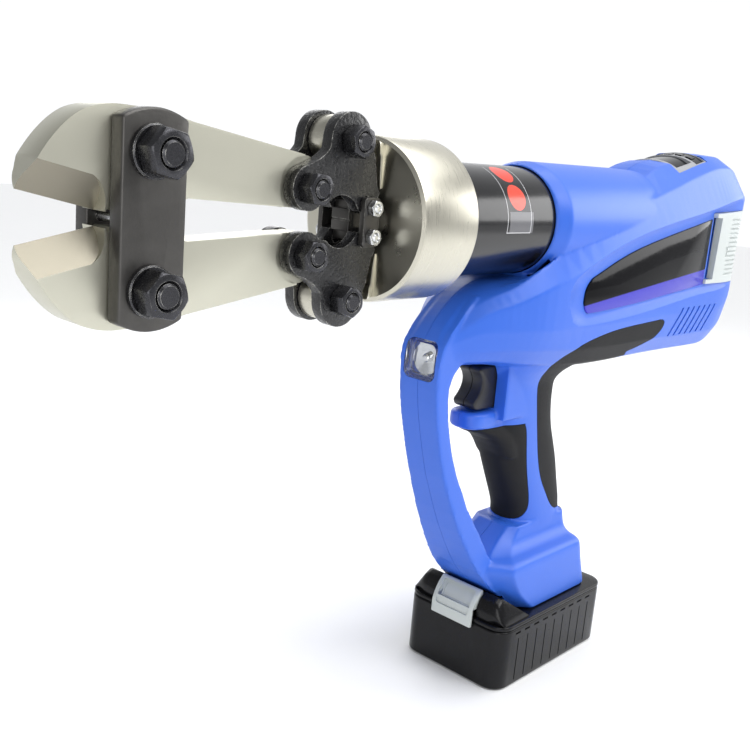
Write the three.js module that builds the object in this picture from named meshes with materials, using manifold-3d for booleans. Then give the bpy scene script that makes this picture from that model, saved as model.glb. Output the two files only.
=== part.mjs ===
// Battery-hydraulic cutter with a bolt-cutter head. Millimetres, +X towards the jaws, +Y the tool's left, +Z up.
// The origin is the centre of the battery's bottom face. The head's axis runs along +X at height AXIS_Z.
import * as THREE from 'three';
import { mergeVertices } from 'three/addons/utils/BufferGeometryUtils.js';
import Module from 'manifold-3d';

const wasm = await Module();
wasm.setup();

// ---------- driving dimensions ----------
const AXIS_Z = 280;
const GAP = 0.3;
const HOLE_FIT = 0.15;
const REACH = 60;
const COLLAR = { r: 40, back: 128, front: 169, bore: 10.3 };
const NECK = { r: 30, front: 141.7, back: 2, bore: 22, spigot: 27 };
const EAR = { x: 192, dz: 36, half: 5.5, lobe: 11, boltR: 4 };
const TAIL = { x: 216, dz: 14.5, half: 5.5, lobe: 9.5, boltR: 4, holeR: 5.9 };
const LINK = { x: 178.5, dz: 6.6, boltR: 1.9 };
const PIVOT = { x: 300, dz: 26, boltR: 5 };
const CHEEK = { inner: 6, outer: 12 };
const LINK_PLATE = { inner: 12.3, outer: 15.3, back: 173.2, front: 183.8, dz: 11.5 };
const JAW_HALF = 7.5;
const JAW_PLATE = { inner: 7.8, outer: 15.8, back: 284, front: 313, dz: 38, crown: 42 };
const NUT_M8 = { flats: 13, height: 8 };
const NUT_M10 = { flats: 17, height: 10 };
const NUT_M4 = { flats: 7, height: 3.2 };
const WASHER = { r: 10.2, thick: 2.5 };
const BATTERY = { length: 118, width: 75, caseTop: 38, coverTop: 41, wall: 2.5, corner: 11 };
const BODY_HALF = 37;
const SLEEVE_R = 33.4;
const GRIP_HALF = 16;
const BASE_HALF = 31;
const SKIN = 2;
const REAR_X = -206;
const STOP = { x: 306.5, r: 1.8, half: 11.7 };
const PISTON = { back: 60, front: 80, r: 21.7 };
const ROD = { r: 10, front: 168, spigot: 6, end: 170.6 };
const SEAL = { back: 66.3, front: 70.7, inner: 19.3, outer: 21.85 };
const CROSSHEAD = { back: 171, front: 182.5, nose: 184.2, half: 5.7, dz: 10, noseDz: 5.3 };
const EDGE = { x: 313.6, dz: 2.8, slopeDeg: 12.4, bevelRise: 12 };
const CAP = { front: -151, low: 240.5, high: 290 };
const LAMP = { low: 194, high: 216, half: 11, back: 106 };
const DISPLAY = { back: -151, front: -108, half: 23, rim: 4, floor: 309 };
const TRIGGER = { back: 44, front: 72, low: 171.5, high: 197, half: 8, travel: 6 };
const DOCK = { stem: 18, head: 22, back: -42, lip: 49, roof: 53.4 };
const SCREWS = [[34, 236], [-176, 226], [-2, 104]];
const SCREW = { shank: 1.9, head: 3.6, headHeight: 3, seat: -12, tip: 10 };
const PUMP = { back: -60, front: -6, r: 26, snout: 14 };
const GEARBOX = { back: -104, front: -60.3, r: 22, flange: 24, flangeLength: 9.7 };
const MOTOR = { back: -182, front: -104.3, r: 21, boss: 8, bossLength: 7 };
const RESERVOIR = { back: -150, front: -60, half: 22, corner: 8, low: 209, high: 250 };
const BOARD = { back: -50, front: 20, half: 20, low: 226, thick: 3 };
const SWITCH = { back: 8, front: 36, half: 8, low: 168, high: 196 };
const CELL = { r: 9, length: 64, pitch: 18.7, shift: 4.7, rows: [12, 27.9], columns: 5 };
const LATCH_HALF = 15.5;
const ROUND_SEGMENTS = 16;

// ---------- materials ----------
const paint = (color, roughness, metalness) =>
  new THREE.MeshStandardMaterial({ color, roughness, metalness });
const BLUE = paint('#2f6be0', 0.45, 0);
const RUBBER = paint('#1d1d1f', 0.85, 0);
const BLACK_GLOSS = paint('#101012', 0.15, 0);
const BLACK_PLASTIC = paint('#161617', 0.4, 0);
const WHITE_PLASTIC = paint('#e8e8e6', 0.4, 0);
const GREY_PLASTIC = paint('#8d9095', 0.45, 0);
const SATIN_STEEL = paint('#c9c5b4', 0.35, 0.9);
const BLACK_STEEL = paint('#2b2b2d', 0.5, 0.8);
const BLACK_CAST = paint('#151516', 0.6, 0.6);
const BLACK_CYLINDER = paint('#0d0d0f', 0.2, 0.4);
const ZINC = paint('#c4c6c8', 0.3, 1);
const POLISHED_STEEL = paint('#d6d6d4', 0.15, 1);
const CLEAR = paint('#dfe8ee', 0.05, 0);
const COPPER = paint('#7c7f83', 0.5, 0.6);
const GREEN_BOARD = paint('#1f5a36', 0.5, 0);

// ---------- solids and geometry ----------
function toSolid(geometry) {
  const g = geometry.clone();
  g.deleteAttribute('normal');
  g.deleteAttribute('uv');
  const merged = mergeVertices(g, 1e-3);
  const build = (triVerts) =>
    new wasm.Manifold(
      new wasm.Mesh({ numProp: 3, vertProperties: merged.attributes.position.array, triVerts }));
  const faces = new Uint32Array(merged.index.array);
  const solid = build(faces);
  return solid.volume() > 0 ? solid : build(faces.reverse());
}

function toGeometry(solid) {
  const m = solid.getMesh();
  const positions = new Float32Array(m.numVert * 3);
  for (let i = 0; i < m.numVert; i++) {
    positions.set(m.vertProperties.subarray(i * m.numProp, i * m.numProp + 3), i * 3);
  }
  return new THREE.BufferGeometry()
    .setAttribute('position', new THREE.BufferAttribute(positions, 3))
    .setIndex(new THREE.BufferAttribute(new Uint32Array(m.triVerts), 1));
}

const join = (...solids) => solids.reduce((a, b) => a.add(b));
const cut = (solid, ...tools) => tools.reduce((a, b) => a.subtract(b), solid);

function extrude(shape, depth, bevel = 0, inset = 0, curveSegments = 3) {
  const options = { depth, curveSegments, bevelEnabled: false };
  if (bevel > 0 || inset > 0) {
    const chamfer = Math.max(bevel, 0.5);
    options.bevelEnabled = true;
    options.bevelSegments = 1;
    options.bevelThickness = chamfer;
    options.bevelSize = chamfer;
    options.bevelOffset = -chamfer - inset;
    options.depth = depth - 2 * chamfer;
  }
  const g = new THREE.ExtrudeGeometry(shape, options);
  return options.bevelEnabled ? g.translate(0, 0, options.bevelThickness) : g;
}

// A shape drawn in X and Z, extruded from y0 to y1.
function sideplate(shape, y0, y1, bevel = 0, inset = 0, curveSegments = 3) {
  const g = extrude(shape, y1 - y0, bevel, inset, curveSegments);
  return toSolid(g.rotateX(Math.PI / 2).translate(0, y1, 0));
}

// A shape drawn in Y and Z, extruded from x0 to x1.
function section(shape, x0, x1, inset = 0, curveSegments = 3) {
  const g = extrude(shape, x1 - x0, 0, inset, curveSegments);
  const turn = new THREE.Matrix4().makeBasis(
    new THREE.Vector3(0, 1, 0), new THREE.Vector3(0, 0, 1), new THREE.Vector3(1, 0, 0));
  return toSolid(g.applyMatrix4(turn).translate(x0, 0, 0));
}

// A shape drawn in X and Y, extruded from z0 to z1.
function plan(shape, z0, z1, bevel = 0) {
  return toSolid(extrude(shape, z1 - z0, bevel).translate(0, 0, z0));
}

function box(x0, x1, y0, y1, z0, z1) {
  const g = new THREE.BoxGeometry(x1 - x0, y1 - y0, z1 - z0);
  return toSolid(g.translate((x0 + x1) / 2, (y0 + y1) / 2, (z0 + z1) / 2));
}

// A turned solid about the head's axis: profile points are [x, radius].
function turned(profile, segments = 28) {
  const points = profile.map(([x, r]) => new THREE.Vector2(r, x));
  const g = new THREE.LatheGeometry(points, segments);
  return toSolid(g.rotateZ(-Math.PI / 2).translate(0, 0, AXIS_Z));
}

function rodX(x0, x1, r) {
  const g = new THREE.CylinderGeometry(r, r, x1 - x0, 24);
  return toSolid(g.rotateZ(Math.PI / 2).translate((x0 + x1) / 2, 0, AXIS_Z));
}

function pinY(x, z, r, y0, y1, segments = ROUND_SEGMENTS) {
  const g = new THREE.CylinderGeometry(r, r, y1 - y0, segments);
  return toSolid(g.translate(x, (y0 + y1) / 2, z));
}

function hexY(x, z, flats, y0, y1, turnDeg) {
  const g = new THREE.CylinderGeometry(flats / Math.sqrt(3), flats / Math.sqrt(3), y1 - y0, 6);
  return toSolid(g.rotateY(THREE.MathUtils.degToRad(turnDeg)).translate(x, (y0 + y1) / 2, z));
}

const vec = ([x, y]) => new THREE.Vector2(x, y);

function polygon(points) {
  return new THREE.Shape(points.map(vec));
}

function roundedRect(x0, x1, y0, y1, r) {
  const s = new THREE.Shape();
  s.moveTo(x0 + r, y0);
  s.absarc(x1 - r, y0 + r, r, -Math.PI / 2, 0);
  s.absarc(x1 - r, y1 - r, r, 0, Math.PI / 2);
  s.absarc(x0 + r, y1 - r, r, Math.PI / 2, Math.PI);
  s.absarc(x0 + r, y0 + r, r, Math.PI, 1.5 * Math.PI);
  return s;
}

// ---------- scene graph ----------
const tool = new THREE.Group();

function add(name, solid, material) {
  const mesh = new THREE.Mesh(toGeometry(solid), material);
  mesh.name = name;
  tool.add(mesh);
}

// The two sides of the head are mirror images in the plane Z = AXIS_Z.
const SIDES = [{ name: 'upper', sign: 1 }, { name: 'lower', sign: -1 }];
const flip = (solid, sign) =>
  (sign > 0 ? solid : solid.translate([0, 0, -AXIS_Z]).scale([1, 1, -1]).translate([0, 0, AXIS_Z]));
const degrees = THREE.MathUtils.degToRad;

// ---------- fasteners ----------
function bolt(x, z, r, headFlats, headHeight, headFace, studEnd, turnDeg) {
  return join(
    pinY(x, z, r, -headFace - 0.1, studEnd),
    hexY(x, z, headFlats, -headFace - headHeight, -headFace, turnDeg));
}

function nut(x, z, size, face, boreR, turnDeg) {
  const collar = pinY(x, z, size.flats * 0.46, face + size.height * 0.8, face + size.height);
  const hex = hexY(x, z, size.flats, face, face + size.height * 0.8 + 0.1, turnDeg);
  return cut(join(hex, collar), pinY(x, z, boreR, face - 1, face + size.height + 1));
}

// ---------- head: collar with ears, cylinder ----------
function collar() {
  const { r, back, front, bore } = COLLAR;
  const body = turned([
    [back, NECK.r + GAP], [back, r - 1], [back + 1, r], [front - 2, r], [front, r - 2],
    [front, bore], [NECK.front + GAP, bore], [NECK.front + GAP, NECK.r + GAP], [back, NECK.r + GAP],
  ], 40);
  const ear = new THREE.Shape();
  ear.moveTo(front - 3, AXIS_Z + 14);
  ear.lineTo(front + 5, AXIS_Z + 15);
  ear.lineTo(EAR.x - 4, AXIS_Z + EAR.dz - 10.3);
  ear.absarc(EAR.x, AXIS_Z + EAR.dz, EAR.lobe, degrees(-80), degrees(125));
  ear.lineTo(front + 6, AXIS_Z + 38);
  ear.lineTo(front - 3, AXIS_Z + 34);
  const gusset = polygon([
    [front - 3, AXIS_Z + 15], [front + 1.5, AXIS_Z + 15], [front + 7, AXIS_Z + 38.5], [front - 3, AXIS_Z + 35],
  ]);
  const clearance = sideplate(polygon([
    [front + 0.4, AXIS_Z + 12], [front + 30, AXIS_Z + 12], [front + 30, AXIS_Z + 60],
    [front + 7.6, AXIS_Z + 60], [front + 2.4, AXIS_Z + 30],
  ]), -CHEEK.outer - 1, CHEEK.outer + 1);
  const keep = sideplate(polygon([
    [front - 5, AXIS_Z], [front + 40, AXIS_Z], [front + 40, AXIS_Z + 60], [front - 5, AXIS_Z + 60],
  ]), -EAR.half, EAR.half);
  const wing = join(
    sideplate(ear, -EAR.half, EAR.half),
    cut(sideplate(gusset, -11, 11), cut(clearance, keep)));
  const hole = pinY(EAR.x, AXIS_Z + EAR.dz, EAR.boltR + GAP, -20, 20);
  const one = cut(wing, hole);
  return join(body, one, flip(one, -1));
}

function cylinder() {
  const { r, front, back, bore, spigot } = NECK;
  return turned([
    [back, 6], [back, spigot], [44, spigot], [44, r], [front, r], [front, bore], [back + 10, bore],
    [back + 10, 6], [back, 6],
  ], 32);
}

add('cylinder_collar', collar(), SATIN_STEEL);
add('hydraulic_cylinder', cylinder(), BLACK_CYLINDER);
for (const { name, sign } of SIDES) {
  const z = AXIS_Z + sign * EAR.dz;
  add(`${name}_ear_bolt`,
    bolt(EAR.x, z, EAR.boltR, NUT_M8.flats, 5.3, CHEEK.outer + GAP, 22, 20), BLACK_STEEL);
  add(`${name}_ear_nut`, nut(EAR.x, z, NUT_M8, CHEEK.outer + GAP, EAR.boltR + HOLE_FIT, 20), BLACK_STEEL);
}

// ---------- ram: piston and rod, seal, crosshead, links ----------
function ram() {
  const groove = { back: SEAL.back - GAP, front: SEAL.front + GAP, r: SEAL.inner - GAP };
  return turned([
    [PISTON.back, 0], [PISTON.back, PISTON.r], [groove.back, PISTON.r], [groove.back, groove.r],
    [groove.front, groove.r], [groove.front, PISTON.r], [PISTON.front, PISTON.r], [PISTON.front, ROD.r],
    [ROD.front, ROD.r], [ROD.front, ROD.spigot], [ROD.end, ROD.spigot], [ROD.end, 0],
  ]);
}

function pistonSeal() {
  const { back, front, inner, outer } = SEAL;
  return turned([[back, inner], [back, outer], [front, outer], [front, inner], [back, inner]]);
}

function crosshead() {
  const { back, front, nose: tip, half: w, dz, noseDz } = CROSSHEAD;
  const tall = sideplate(roundedRect(back, front, AXIS_Z - dz, AXIS_Z + dz, 1), -w, w);
  const nose = box(front - 0.5, tip, -w, w, AXIS_Z - noseDz, AXIS_Z + noseDz);
  const groove = box(183.6, 185, -6, 6, AXIS_Z - 0.4, AXIS_Z + 0.4);
  const holes = [1, -1].map((s) => pinY(LINK.x, AXIS_Z + s * LINK.dz, LINK.boltR + HOLE_FIT, -8, 8));
  return cut(join(tall, nose), groove, ...holes);
}

function linkPlate(side) {
  const { inner, outer, back, front, dz } = LINK_PLATE;
  const y0 = side > 0 ? inner : -outer;
  const holes = [1, -1].map((s) => pinY(LINK.x, AXIS_Z + s * LINK.dz, LINK.boltR + HOLE_FIT, -20, 20));
  return cut(sideplate(roundedRect(back, front, AXIS_Z - dz, AXIS_Z + dz, 2), y0, y0 + outer - inner), ...holes);
}

add('piston_rod', ram(), POLISHED_STEEL);
add('piston_seal', pistonSeal(), RUBBER);
add('crosshead_block', crosshead(), BLACK_STEEL);
add('left_link_plate', linkPlate(1), BLACK_STEEL);
add('right_link_plate', linkPlate(-1), BLACK_STEEL);
for (const { name, sign } of SIDES) {
  const z = AXIS_Z + sign * LINK.dz;
  const face = LINK_PLATE.outer + GAP;
  add(`${name}_link_bolt`, bolt(LINK.x, z, LINK.boltR, NUT_M4.flats, 2.8, face, face + 4, 10), ZINC);
  add(`${name}_link_nut`, nut(LINK.x, z, NUT_M4, face, LINK.boltR + HOLE_FIT, 10), ZINC);
}

// ---------- levers: two cheeks each ----------
// The outline is the upper lever's, drawn with heights measured from the head's axis.
function cheekShape() {
  const s = new THREE.Shape();
  const z = (dz) => AXIS_Z + dz;
  s.moveTo(171.2, z(13.5));
  s.lineTo(175.6, z(4.6));
  s.absarc(LINK.x, z(LINK.dz), 3.4, degrees(215), degrees(310));
  s.absarc(195.5, z(0), 12, degrees(156), degrees(45), true);
  s.absarc(TAIL.x, z(TAIL.dz), 10, degrees(225), degrees(440));
  s.quadraticCurveTo(208, z(28), 205.2, z(32.5));
  s.absarc(EAR.x, z(EAR.dz), 12.8, degrees(-8), degrees(170));
  s.lineTo(175.6, z(28));
  s.lineTo(173.4, z(17));
  return s;
}

// The link bolt's slot lets the bolt keep its straight course while the lever swings.
function linkSlot() {
  const along = Math.atan2(EAR.dz - LINK.dz, EAR.x - LINK.x);
  const step = [0, 1, 2, 3].map((i) => {
    const d = i * 1.1 - 0.2;
    return pinY(LINK.x + d * Math.cos(along), AXIS_Z + LINK.dz + d * Math.sin(along), 2.55, -20, 20, 10);
  });
  return join(...step);
}

function cheek(side) {
  const y0 = side > 0 ? CHEEK.inner : -CHEEK.outer;
  const plate = sideplate(cheekShape(), y0, y0 + CHEEK.outer - CHEEK.inner, 0, 0, 5);
  return cut(plate, linkSlot(),
    pinY(EAR.x, AXIS_Z + EAR.dz, EAR.boltR + GAP, -20, 20),
    pinY(TAIL.x, AXIS_Z + TAIL.dz, TAIL.boltR + HOLE_FIT, -20, 20));
}

for (const { name, sign } of SIDES) {
  add(`${name}_left_lever_cheek`, flip(cheek(1), sign), BLACK_CAST);
  add(`${name}_right_lever_cheek`, flip(cheek(-1), sign), BLACK_CAST);
  const z = AXIS_Z + sign * TAIL.dz;
  const face = CHEEK.outer + GAP;
  add(`${name}_tail_bolt`, bolt(TAIL.x, z, TAIL.boltR, NUT_M8.flats, 5.3, face, 22, 5), BLACK_STEEL);
  add(`${name}_tail_nut`, nut(TAIL.x, z, NUT_M8, face, TAIL.boltR + HOLE_FIT, 5), BLACK_STEEL);
}

// ---------- jaw carrier: two plates on two pivots ----------
function jawPlate(side) {
  const { inner, outer, back, front, dz, crown } = JAW_PLATE;
  const s = new THREE.Shape();
  s.moveTo(back, AXIS_Z - dz);
  s.quadraticCurveTo((back + front) / 2, AXIS_Z - 2 * crown + dz, front, AXIS_Z - dz);
  s.lineTo(front, AXIS_Z + dz);
  s.quadraticCurveTo((back + front) / 2, AXIS_Z + 2 * crown - dz, back, AXIS_Z + dz);
  const y0 = side > 0 ? inner : -outer;
  const plate = sideplate(s, y0, y0 + outer - inner, 0.8, 0, 6);
  const holes = [1, -1].map((k) => pinY(PIVOT.x, AXIS_Z + k * PIVOT.dz, PIVOT.boltR + HOLE_FIT, -20, 20));
  return cut(plate, ...holes, pinY(STOP.x, AXIS_Z, STOP.r + GAP, -12, 12, 12));
}

add('left_jaw_plate', jawPlate(1), BLACK_STEEL);
add('right_jaw_plate', jawPlate(-1), BLACK_STEEL);
add('jaw_stop_pin', pinY(STOP.x, AXIS_Z, STOP.r, -STOP.half, STOP.half), ZINC);
for (const { name, sign } of SIDES) {
  const z = AXIS_Z + sign * PIVOT.dz;
  const face = JAW_PLATE.outer + GAP;
  const nutFace = face + WASHER.thick + GAP;
  add(`${name}_pivot_bolt`, bolt(PIVOT.x, z, PIVOT.boltR, NUT_M10.flats, 6.4, face, nutFace + 12, 12), BLACK_STEEL);
  add(`${name}_pivot_washer`,
    cut(pinY(PIVOT.x, z, WASHER.r, face, face + WASHER.thick, 28),
      pinY(PIVOT.x, z, PIVOT.boltR + HOLE_FIT, face - 1, face + 4)), BLACK_STEEL);
  add(`${name}_pivot_nut`, nut(PIVOT.x, z, NUT_M10, nutFace, PIVOT.boltR + HOLE_FIT, 12), BLACK_STEEL);
}

// ---------- jaws ----------
// The edge is a straight line that lies just above the axis when the jaws have closed.

function jawShape() {
  const s = new THREE.Shape();
  const z = (dz) => AXIS_Z + dz;
  s.moveTo(314.4, z(2.98));
  s.lineTo(346, z(9.9));
  s.quadraticCurveTo(346.2, z(13.5), 343.8, z(16.7));
  s.bezierCurveTo(339, z(26), 331, z(36), 322.8, z(39.4));
  s.quadraticCurveTo(316, z(42), 308.7, z(42));
  s.lineTo(292, z(41.5));
  s.lineTo(276, z(38));
  s.lineTo(212, z(28));
  s.quadraticCurveTo(207, z(27), 206.6, z(20));
  s.absarc(TAIL.x, z(TAIL.dz), TAIL.lobe, degrees(170), degrees(285));
  s.lineTo(277, z(8.5));
  s.lineTo(296, z(3.2));
  s.lineTo(309.7, z(3.2));
  s.absarc(311.9, z(2), 2.5, degrees(151), degrees(23), true);
  return s;
}

function bevelCutter(side) {
  const wedge = new THREE.Shape([[0.15, 0], [0.15, -30], [14, -30], [14, EDGE.bevelRise * 14 / JAW_HALF]]
    .map(vec));
  const g = new THREE.ExtrudeGeometry(wedge, { depth: 60, bevelEnabled: false });
  const turn = new THREE.Matrix4().makeBasis(
    new THREE.Vector3(0, 1, 0), new THREE.Vector3(0, 0, 1), new THREE.Vector3(1, 0, 0));
  g.applyMatrix4(turn).translate(3, 0, 0).rotateY(-degrees(EDGE.slopeDeg)).translate(EDGE.x, 0, AXIS_Z + EDGE.dz);
  const solid = toSolid(g);
  return side > 0 ? solid : solid.scale([1, -1, 1]);
}

function jaw() {
  const full = sideplate(jawShape(), -JAW_HALF, JAW_HALF, 0, 0, 4);
  const around = pinY(TAIL.x, AXIS_Z + TAIL.dz, 13.5, -20, 20, 24);
  const behind = box(190, 216, -20, 20, AXIS_Z, AXIS_Z + 50);
  const waist = box(180, 240, -TAIL.half, TAIL.half, AXIS_Z - 10, AXIS_Z + 60);
  return cut(full, cut(join(around, behind), waist), bevelCutter(1), bevelCutter(-1),
    pinY(TAIL.x, AXIS_Z + TAIL.dz, TAIL.holeR, -20, 20),
    pinY(PIVOT.x, AXIS_Z + PIVOT.dz, PIVOT.boltR + GAP, -20, 20));
}

for (const { name, sign } of SIDES) {
  add(`${name}_jaw`, flip(jaw(), sign), SATIN_STEEL);
}

// ---------- housing outlines ----------
const BASE_BOTTOM = BATTERY.coverTop + GAP;
const FINGER_HOLE = [
  [102, 195], [104, 186], [97, 156], [84, 130], [60, 93], [50, 86], [28, 88], [17, 93], [22, 102], [36, 128],
  [46, 152], [48, 158], [69, 160], [74, 165], [69, 170], [52, 171], [52, 197], [66, 200], [86, 204], [97, 203],
];

function sideOutline() {
  const s = new THREE.Shape();
  s.moveTo(24, BASE_BOTTOM);
  s.splineThru([
    [45, 57], [62.5, 73], [83, 102], [95, 126], [104.8, 150], [111.4, 172], [114.8, 190], [115, 206],
  ].map(vec));
  s.splineThru([[108, 221], [94.5, 236]].map(vec));
  s.lineTo(46, 249);
  s.lineTo(46, 313.5);
  s.lineTo(-84, 312);
  s.splineThru([
    [-112, 318.5], [-148, 326.5], [-170, 328.5], [-188, 325.5], [-199, 316], [REAR_X, 300],
  ].map(vec));
  s.lineTo(REAR_X, 240);
  s.splineThru([[-198, 216], [-187, 198], [-166, 191]].map(vec));
  s.lineTo(-86, 193);
  s.splineThru([[-30, 195], [-9, 184], [-10, 164], [-20, 134], [-31, 104], [-36, 78]].map(vec));
  s.lineTo(-47, BASE_BOTTOM);
  s.holes.push(new THREE.Path(FINGER_HOLE.map(vec)));
  return s;
}

// Half the width at each height, seen from the front.
function frontOutline() {
  const right = [
    [BASE_HALF, BASE_BOTTOM], [BASE_HALF, 74], [25, 85], [18, 95], [GRIP_HALF, 110], [GRIP_HALF, 180], [19, 198],
    [30, 214], [BODY_HALF, 232], [BODY_HALF, 284], [35.5, 297], [31, 309], [26, 317], [20, 322], [10, 327], [0, 328.5],
  ];
  const left = right.slice(0, -1).reverse().map(([y, z]) => [-y, z]);
  return polygon([...right, ...left]);
}

// The nose narrows from the sleeve to the guard's front.
function noseTaper() {
  return polygon([
    [REAR_X, -16], [REAR_X + 4, -26], [REAR_X + 12, -33], [REAR_X + 26, -37], [0, -39], [46, -36], [70, -30],
    [104, -16], [130, -12], [130, 12], [104, 16], [70, 30], [46, 36], [0, 39], [REAR_X + 26, 37],
    [REAR_X + 12, 33], [REAR_X + 4, 26], [REAR_X, 16],
  ]);
}

function bodyForm(inset) {
  const side = sideplate(sideOutline(), -45, 45, 0, inset, 2);
  const front = section(frontOutline(), -260, 140, inset, 2);
  const nose = toSolid(extrude(noseTaper(), 340, 0, inset));
  return side.intersect(front).intersect(nose).intersect(sleeveCone(inset));
}

// The front of the body closes in to a round sleeve about the neck. Below the neck it stays as it is.
function sleeveCone(inset) {
  const cone = turned([[-300, 0], [-300, 70], [-30, 62], [46 - inset, SLEEVE_R - inset], [46 - inset, 0]], 40);
  return join(cone, box(-300, 140, -60, 60, 0, 256));
}

// The rear body is wide lower down than the grip, so its belly is a form of its own.
function bellyForm(inset) {
  const outline = new THREE.Shape();
  outline.moveTo(20, 240);
  outline.lineTo(-60, 262);
  outline.lineTo(REAR_X, 262);
  outline.lineTo(REAR_X, 240);
  outline.splineThru([[-198, 216], [-187, 198], [-166, 191]].map(vec));
  outline.lineTo(-86, 193);
  outline.splineThru([[-40, 195], [-10, 199], [20, 208]].map(vec));
  const side = sideplate(outline, -45, 45, 0, inset, 2);
  const belly = polygon([
    [0, 190.5], [18, 191.5], [28, 196], [35, 207], [BODY_HALF, 222], [BODY_HALF, 270],
    [-BODY_HALF, 270], [-BODY_HALF, 222], [-35, 207], [-28, 196], [-18, 191.5],
  ]);
  const nose = toSolid(extrude(noseTaper(), 340, 0, inset));
  return side.intersect(section(belly, -260, 140, inset, 2)).intersect(nose);
}

const outerForm = (inset) => join(bodyForm(inset), bellyForm(inset));

// The drive's chamber in the rear body and the switch's chamber in the grip.
function chambers() {
  const outline = new THREE.Shape();
  outline.moveTo(38, 222);
  outline.lineTo(38, 307);
  outline.lineTo(-86, 306.5);
  outline.splineThru([[-112, 311.5], [-148, 319], [-170, 322], [-184, 320], [-194, 311], [-200, 298]].map(vec));
  outline.lineTo(-200, 242);
  outline.splineThru([[-193, 220], [-184, 206], [-166, 198]].map(vec));
  outline.lineTo(-86, 200);
  outline.splineThru([[-40, 202], [0, 206], [38, 222]].map(vec));
  const width = polygon([
    [12, 196], [22, 200], [28, 209], [31, 222], [31.5, 284], [29, 298], [22, 310], [12, 318], [0, 322],
    [-12, 318], [-22, 310], [-29, 298], [-31.5, 284], [-31, 222], [-28, 209], [-22, 200], [-12, 196],
  ]);
  const corners = toSolid(extrude(noseTaper(), 340, 0, 5));
  const rear = sideplate(outline, -45, 45, 0, 0, 2).intersect(section(width, -260, 140)).intersect(corners);
  const grip = sideplate(polygon([
    [4, 209], [38, 212], [38, 166], [30, 142], [14, 112], [4, 100], [-20, 100], [-8, 140], [0, 165],
  ]), -11, 11);
  return join(rear, grip);
}

// ---------- housing zones ----------
function rearRubberZone() {
  const s = new THREE.Shape();
  s.moveTo(25, 198);
  s.splineThru([[18, 207], [4, 212], [-29, 217], [-82, 219.5]].map(vec));
  s.quadraticCurveTo(-91, 219, -89, 214);
  s.quadraticCurveTo(-84, 207, -58, 200);
  s.lineTo(-52, 180);
  s.lineTo(-60, 97);
  s.lineTo(-15, 97);
  s.splineThru([[-5, 108], [7, 127], [17, 162], [24, 188]].map(vec));
  return sideplate(s, -REACH, REACH, 0, 0, 4);
}

function frontRubberZone() {
  return sideplate(polygon([
    [11, 106], [14, 97], [24, 92], [75, 88], [75, 159.5], [29, 159.5], [26, 154], [20, 130],
  ]), -REACH, REACH);
}

const LABEL = [[15, 238], [13, 247], [6, 251], [-45, 267], [-140, 284], [-141, 240], [2, 230], [11, 232]];

function labelZone(inset) {
  return sideplate(polygon(LABEL), -REACH, REACH, 0, inset);
}

function capZone(inset) {
  return box(-260, CAP.front - inset, -REACH, REACH, CAP.low + inset, CAP.high - inset);
}

function lampZone(inset) {
  return box(LAMP.back + inset, 140, -LAMP.half + inset, LAMP.half - inset, LAMP.low + inset, LAMP.high - inset);
}

function displayZone(inset) {
  return box(DISPLAY.back + inset, DISPLAY.front - inset, -DISPLAY.half + inset, DISPLAY.half - inset,
    DISPLAY.floor + inset, 340);
}

function triggerZone() {
  return box(TRIGGER.back - TRIGGER.travel - 1, 80, -TRIGGER.half - 0.5, TRIGGER.half + 0.5,
    TRIGGER.low - 0.5, TRIGGER.high + 0.5);
}

function dockZone() {
  return join(
    box(DOCK.back, 80, -DOCK.stem - 0.4, DOCK.stem + 0.4, 40, DOCK.lip + 0.5),
    box(DOCK.back, 80, -DOCK.head - 0.4, DOCK.head + 0.4, DOCK.lip - 0.4, DOCK.roof));
}

function neckZone() {
  return join(rodX(36, 140, NECK.r + 0.5), rodX(0, 37, NECK.spigot + 0.6));
}

// ---------- housing ----------
const outer = outerForm(0);
const core = outerForm(SKIN);

function housing() {
  const skinZone = join(rearRubberZone(), frontRubberZone(), capZone(0), labelZone(0));
  const shell = join(cut(outer, skinZone), core);
  return cut(shell, chambers(), lampZone(0), displayZone(0), triggerZone(), dockZone(), neckZone());
}

function half(solid, side) {
  const y0 = side > 0 ? GAP / 2 : -REACH;
  const y1 = side > 0 ? REACH : -GAP / 2;
  return solid.intersect(box(-300, 200, y0, y1, 0, 400));
}

function largest(solid) {
  return solid.decompose().reduce((a, b) => (a.volume() > b.volume() ? a : b));
}

const shell = housing();
const screwHoles = join(
  ...SCREWS.map(([x, z]) => pinY(x, z, SCREW.shank + GAP, SCREW.seat - 1, SCREW.tip + 2, 14)),
  ...SCREWS.map(([x, z]) => pinY(x, z, SCREW.head + GAP, -REACH, SCREW.seat, 14)));
const bosses = join(...SCREWS.map(([x, z]) => pinY(x, z, SCREW.head + 2, -16, 14, 14)));
const bossed = (side) => largest(cut(join(half(shell, side), half(bosses.intersect(core), side)),
  screwHoles));
add('left_housing_shell', bossed(1), BLUE);
add('right_housing_shell', bossed(-1), BLUE);
SCREWS.forEach(([x, z], i) => {
  const face = SCREW.seat - GAP;
  const head = pinY(x, z, SCREW.head, face - SCREW.headHeight, face, 14);
  const slot = box(x - 2.4, x + 2.4, -30, face - SCREW.headHeight / 2, z - 0.5, z + 0.5);
  const shank = pinY(x, z, SCREW.shank, face - 0.1, SCREW.tip, 12);
  add(`shell_screw_${i + 1}`, cut(join(head, shank), slot), ZINC);
});

const grownCore = outerForm(SKIN - GAP);
const skin = (zone) => largest(cut(outer.intersect(zone), grownCore));

add('rear_grip_rubber', skin(rearRubberZone()), RUBBER);
add('front_grip_rubber', skin(frontRubberZone()), RUBBER);
add('rear_cap', skin(capZone(GAP)), WHITE_PLASTIC);

const labelPanel = (side) => skin(labelZone(GAP).intersect(half(outer, side)));

add('left_label_panel', labelPanel(1), BLACK_GLOSS);
add('right_label_panel', labelPanel(-1), BLACK_GLOSS);

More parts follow.
